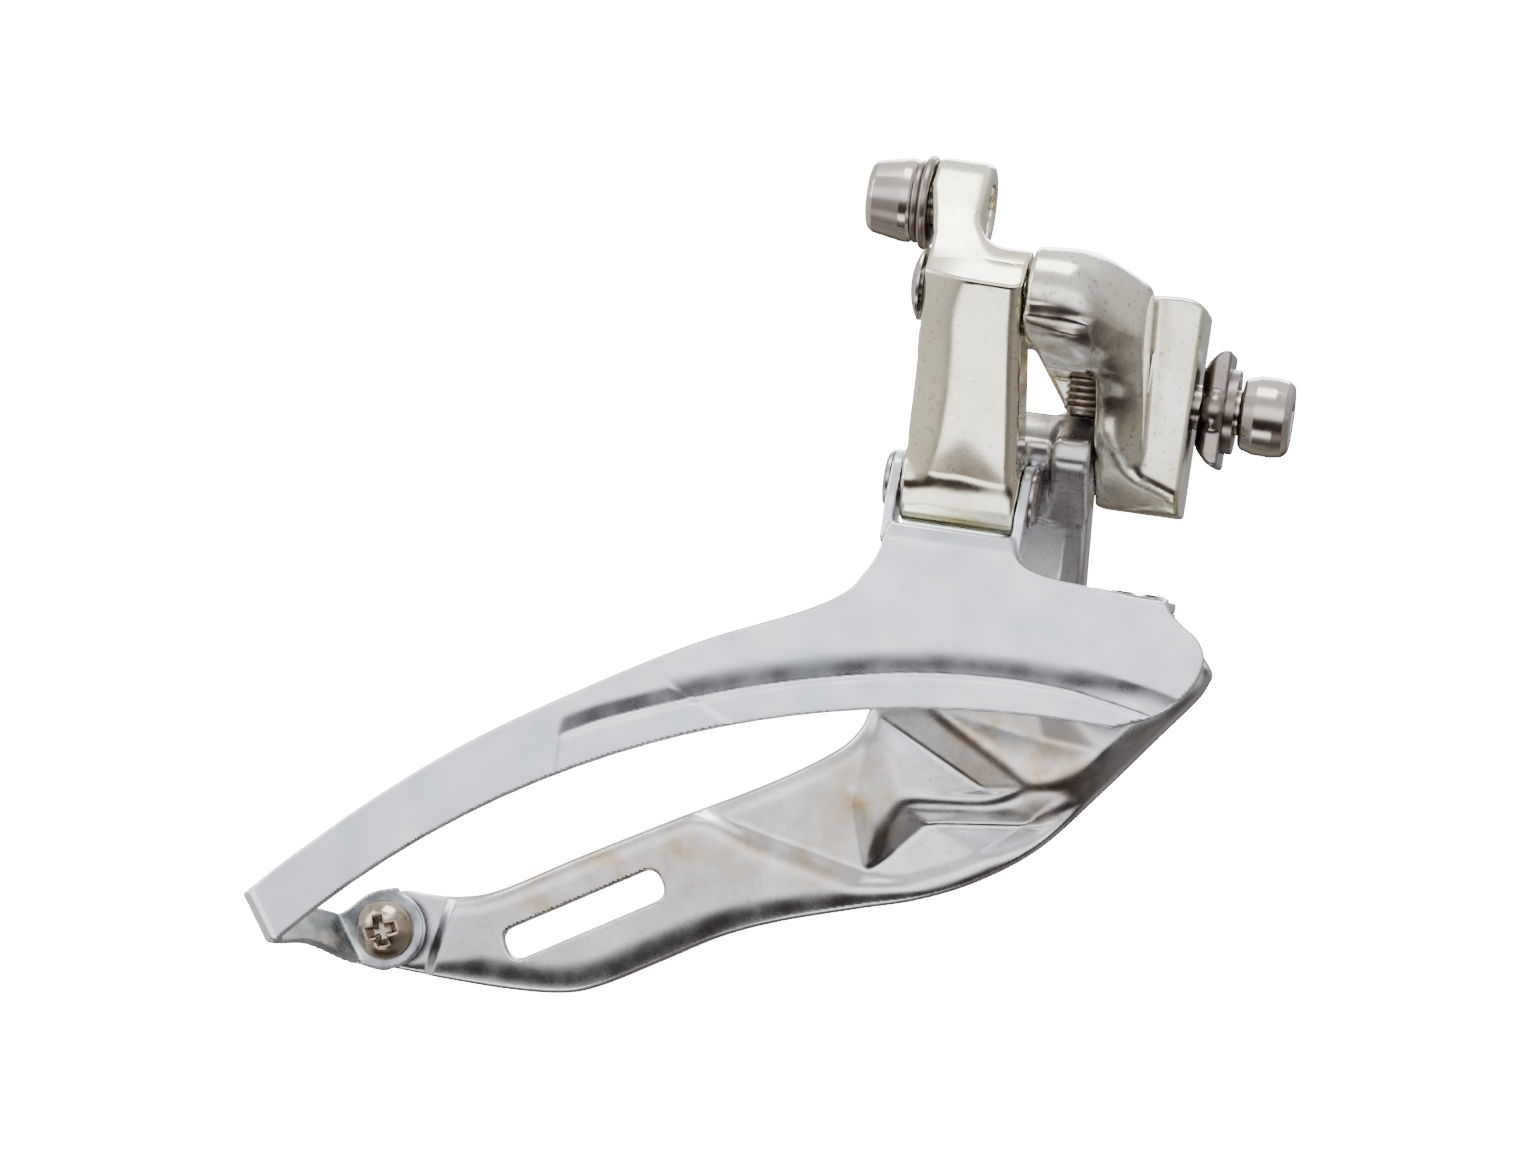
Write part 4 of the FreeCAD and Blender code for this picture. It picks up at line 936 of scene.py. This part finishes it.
# profiles of the turned bolts, (X, radius)
FIXING_PROFILE = [(-8.9, -1.0), (-8.9, 2.1), (-8.6, 2.4), (4.7, 2.4), (4.8, 3.5), (5.1, 3.85),
                  (6.4, 4.25), (8.4, 4.3), (9.5, 4.1), (10.0, 3.7), (10.2, 3.2), (10.2, -1.0)]
CABLE_PROFILE = [(-24.4, -1.0), (-24.4, 2.0), (-24.7, 2.3), (-32.0, 2.3), (-32.0, 4.25),
                 (-32.3, 4.45), (-33.0, 4.45), (-36.2, 3.85), (-36.7, 3.5), (-36.9, 3.1),
                 (-36.9, -1.0)]
CABLE_BOLT = (-11.0, 17.2)


def bolt_field(profile, x, y, z, floor, end):
    """A turned bolt with a hexagon socket; floor and end are the limits along the bolt."""
    radius = np.hypot(y, z)
    bolt = outline_field(np.array(profile, float), x, radius) - 0.05
    socket = all_of(0.05, hexagon_field(y, z, HEX_ACROSS), floor + 0.25 * radius)
    return smax(smax(bolt, -socket, 0.15), end, 0.05)


def fixing_bolt_field(x, y, z):
    return bolt_field(FIXING_PROFILE, x, y, z, 6.9 - x, x - 10.2)


def cable_bolt_field(x, y, z):
    y, z = y - CABLE_BOLT[0], z - CABLE_BOLT[1]
    return bolt_field(CABLE_PROFILE, x, y, z, x + 34.0, -36.9 - x)


def cage_screw_field(x, y, z):
    u, w = x - TAIL_SCREW[0], z - TAIL_SCREW[1]
    r = np.hypot(u, w)
    dome = all_of(0.25, np.hypot(r, y - 0.41) - 3.81, y + 1.1, r - 3.4)
    shank = all_of(0.1, r - 1.85, slab(y, -1.5, 3.3))
    screw = np.minimum(dome, shank)
    turn = math.radians(22)
    a, b = u * math.cos(turn) + w * math.sin(turn), w * math.cos(turn) - u * math.sin(turn)
    depth = np.clip(y + 3.4, 0, 2)
    narrow, long = 0.62 - 0.16 * depth, 2.15 - 0.75 * depth
    cross = np.minimum(np.maximum(np.abs(a) - narrow, np.abs(b) - long),
                       np.maximum(np.abs(b) - narrow, np.abs(a) - long))
    return smax(screw, -all_of(0.15, cross, y + 1.8), 0.25)


def saddle_washer_field(x, y, z):
    convex = np.hypot(x - 16.2, y) - 16.0
    plate = all_of(0.5, convex, x - 3.2, slab(y, -4.6, 4.6), slab(z, -6.3, 6.3),
                   1.35 - x - 0.6 * np.clip(y + 4.6, 0, 4),
                   0.707 * (np.abs(z) - 6.3 + 1.3 - x + 0.9))
    dished = np.hypot(y + 5.6, z + 0.4) - 2.2
    plate = smax(plate, -smax(dished, slab(x, 0.0, 1.7), 0.3), 0.3)
    knob = np.sqrt((x - 2.1) ** 2 + (y + 4.3) ** 2 + 0.6 * (z + 0.3) ** 2) - 1.6
    plate = smin(plate, smax(knob, x - 3.2, 0.2), 0.5)
    return smax(plate, BOLT_RADIUS + 0.1 - np.hypot(y, z), 0.15)


field_piece("fixing_bolt_turned", fixing_bolt_field, (-9.5, -5, -5), (10.8, 5, 5), 0.17,
            "bracket", "fixing_bolt", TURNED)
field_piece("cable_bolt_turned", cable_bolt_field, (-37.5, -16, 12.2), (-24, -6, 22.2), 0.17,
            "outer_link", "cable_bolt", TURNED)
field_piece("cage_screw_pan_head", cage_screw_field, (-85, -3.8, -73.8), (-77, 3.8, -65.8), 0.12,
            "cage", "cage_screw", SCREW)
field_piece("saddle_washer_formed", saddle_washer_field, (-0.4, -6.6, -7), (3.7, 5.2, 7), 0.16,
            "bracket", "saddle_washer", SADDLE)
field_piece("outer_link_forging", outer_link_field, (-31, -25, -18), (-15.5, -3, 24), 0.24,
            "outer_link", "outer_link", LINK_ALLOY)
field_piece("bracket_forging", bracket_field, (-28, -25, -13), (3, 8.5, 15), 0.27,
            "bracket", "bracket", BRACKET_ALLOY)
field_piece("inner_link_casting", inner_link_field, (-20, -10, -33), (-9, 13.5, -2), 0.25,
            "inner_link", "inner_link", INNER_ALLOY)
field_piece("outer_cage_plate", outer_plate_field, (-95, -13.5, -76), (7, 3, -8), 0.28,
            "cage", "outer_plate", OUTER_STEEL)
field_piece("inner_cage_plate", inner_plate_field, (-87, -10, -76), (7, 13, -21.5), 0.28,
            "cage", "inner_plate", INNER_STEEL)


# ---------------- camera, light, floor

AZIMUTH = math.radians(10.5)
ROLL = math.radians(8.3)
CAMERA_AT = (0.03929, -0.45038, -0.02466)
LENS = 97.8

back = Vector((math.sin(AZIMUTH), -math.cos(AZIMUTH), 0.0))
right = Vector((math.cos(AZIMUTH), math.sin(AZIMUTH), 0.0))
up = back.cross(right)
screen_right = right * math.cos(ROLL) + up * math.sin(ROLL)
screen_up = up * math.cos(ROLL) - right * math.sin(ROLL)
camera_data = bpy.data.cameras.new("camera")
camera_data.lens = LENS
camera_data.sensor_width = 36.0
camera_data.clip_start = 0.01
camera = bpy.data.objects.new("camera", camera_data)
turn = Matrix((screen_right, screen_up, back)).transposed().to_4x4()
camera.matrix_world = Matrix.Translation(CAMERA_AT) @ turn
bpy.context.collection.objects.link(camera)
bpy.context.scene.camera = camera


def area_light(name, at, aim, size, power, colour=(1, 1, 1)):
    data = bpy.data.lights.new(name, "AREA")
    data.shape = "RECTANGLE"
    data.size, data.size_y = size
    data.energy = power
    data.color = colour
    lamp = bpy.data.objects.new(name, data)
    lamp.location = at
    aim_line = Vector(aim) - Vector(at)
    lamp.rotation_euler = aim_line.to_track_quat("-Z", "Y").to_euler()
    bpy.context.collection.objects.link(lamp)


OBJECT_MIDDLE = (-0.042, -0.005, -0.03)
area_light("top_softbox", (-0.1, -0.2, 0.6), OBJECT_MIDDLE, (0.4, 0.3), 3.0)
area_light("left_softbox", (-0.6, -0.3, 0.2), OBJECT_MIDDLE, (0.3, 0.5), 2.0)
area_light("back_softbox", (-0.1, 0.6, 0.4), OBJECT_MIDDLE, (0.5, 0.4), 4.0)

# studio surround: bands of light and shade, by angle round the object's long axis
BANDS = [  # (angle in degrees: 0 in front, 90 overhead, -90 below, 180 behind; colour)
    (-180, (0.40, 0.40, 0.40)), (-172, (0.16, 0.14, 0.12)), (-150, (0.14, 0.11, 0.09)),
    (-134, (0.40, 0.38, 0.33)), (-112, (0.30, 0.28, 0.24)), (-98, (0.16, 0.14, 0.13)),
    (-86, (0.08, 0.065, 0.06)), (-74, (0.24, 0.20, 0.18)), (-66, (0.30, 0.27, 0.26)),
    (-50, (0.14, 0.11, 0.11)), (-40, (0.04, 0.03, 0.03)), (-20, (0.035, 0.027, 0.027)),
    (-13, (0.20, 0.17, 0.17)), (-8, (1.15, 1.13, 1.14)), (-3, (2.0, 2.02, 2.05)),
    (6, (2.7, 2.72, 2.75)), (20, (2.6, 2.6, 2.6)), (28, (1.1, 1.1, 1.1)),
    (36, (1.0, 1.0, 1.03)), (66, (1.0, 1.0, 1.03)), (76, (0.7, 0.7, 0.68)),
    (90, (1.3, 1.29, 1.26)), (110, (1.5, 1.5, 1.5)), (150, (0.7, 0.7, 0.7)),
    (180, (0.40, 0.40, 0.40)),
]
LEFT_WALL, RIGHT_WALL = (1.05, 1.02, 0.94), (0.66, 0.64, 0.58)
BRIGHTEST = 3.2
# how bright the surround is where the camera sees it directly
BACKDROP = 22.0
FLOOR_AT, FLOOR_RADIUS = (-0.04, 0.0, -0.17), 0.32

world = bpy.data.worlds.new("studio")
bpy.context.scene.world = world
world.use_nodes = True
tree = world.node_tree
ground = tree.nodes["Background"]
direction = tree.nodes.new("ShaderNodeTexCoord")
part = tree.nodes.new("ShaderNodeSeparateXYZ")
tree.links.new(direction.outputs["Generated"], part.inputs["Vector"])
toward = combine(tree, "MULTIPLY", part.outputs["Y"], -1.0)
angle = combine(tree, "ARCTAN2", part.outputs["Z"], toward)
ramp = tree.nodes.new("ShaderNodeValToRGB")
stops = ramp.color_ramp.elements
for degrees, _ in BANDS[1:-1]:
    stops.new((degrees + 180) / 360)
for stop, (_, colour) in zip(stops, BANDS):
    stop.color = [c / BRIGHTEST for c in colour] + [1]
tree.links.new(spread(tree, angle, -math.pi, math.pi), ramp.inputs["Fac"])
shade = ramp.outputs["Color"]
for limits, wall, heights in (((-0.38, -0.68), LEFT_WALL, (-0.9, -0.3, 0.7, 1.0)),
                              ((0.42, 0.80), RIGHT_WALL, (-0.1, 0.35, 0.4, 1.0))):
    share = spread(tree, part.outputs["X"], *limits, 0.0, 0.85)
    shade = mix(tree, share, shade, tuple(c / BRIGHTEST for c in wall))
    dimmer = spread(tree, part.outputs["Z"], *heights)
    dimmed = mix(tree, dimmer, (0.02, 0.015, 0.015), shade)
    shade = mix(tree, share, shade, dimmed)
# a low softbox in front: each side fades in over a range of angle (radians) or of X
box_share = None
for source, limits in ((angle, (-1.20, -1.08)), (angle, (-0.82, -0.90)),
                       (part.outputs["X"], (-0.46, -0.38)), (part.outputs["X"], (0.16, 0.06))):
    side = spread(tree, source, *limits)
    if box_share is not None:
        side = combine(tree, "MULTIPLY", box_share, side)
    box_share = side
shade = mix(tree, box_share, shade, (1.0, 1.0, 1.0))
tree.links.new(shade, ground.inputs["Color"])
ground.inputs["Strength"].default_value = BRIGHTEST
seen = tree.nodes.new("ShaderNodeBackground")
seen.inputs["Color"].default_value = (1, 1, 1, 1)
seen.inputs["Strength"].default_value = BACKDROP
path = tree.nodes.new("ShaderNodeLightPath")
choose = tree.nodes.new("ShaderNodeMixShader")
tree.links.new(path.outputs["Is Camera Ray"], choose.inputs["Fac"])
tree.links.new(ground.outputs["Background"], choose.inputs[1])
tree.links.new(seen.outputs["Background"], choose.inputs[2])
tree.links.new(choose.outputs["Shader"], tree.nodes["World Output"].inputs["Surface"])

bpy.ops.mesh.primitive_circle_add(vertices=96, radius=FLOOR_RADIUS, fill_type="NGON",
                                  location=FLOOR_AT)
floor = bpy.context.object
floor.name = "floor"
floor.visible_glossy = False
floor_material, tree, shader, place = new_material("pale_floor")
tone = noise(tree, place, 6.0)
floor_colour = mix(tree, tone, (0.93, 0.93, 0.93), (0.96, 0.96, 0.96))
tree.links.new(floor_colour, shader.inputs["Base Color"])
shader.inputs["Roughness"].default_value = 0.8
floor.data.materials.append(floor_material)
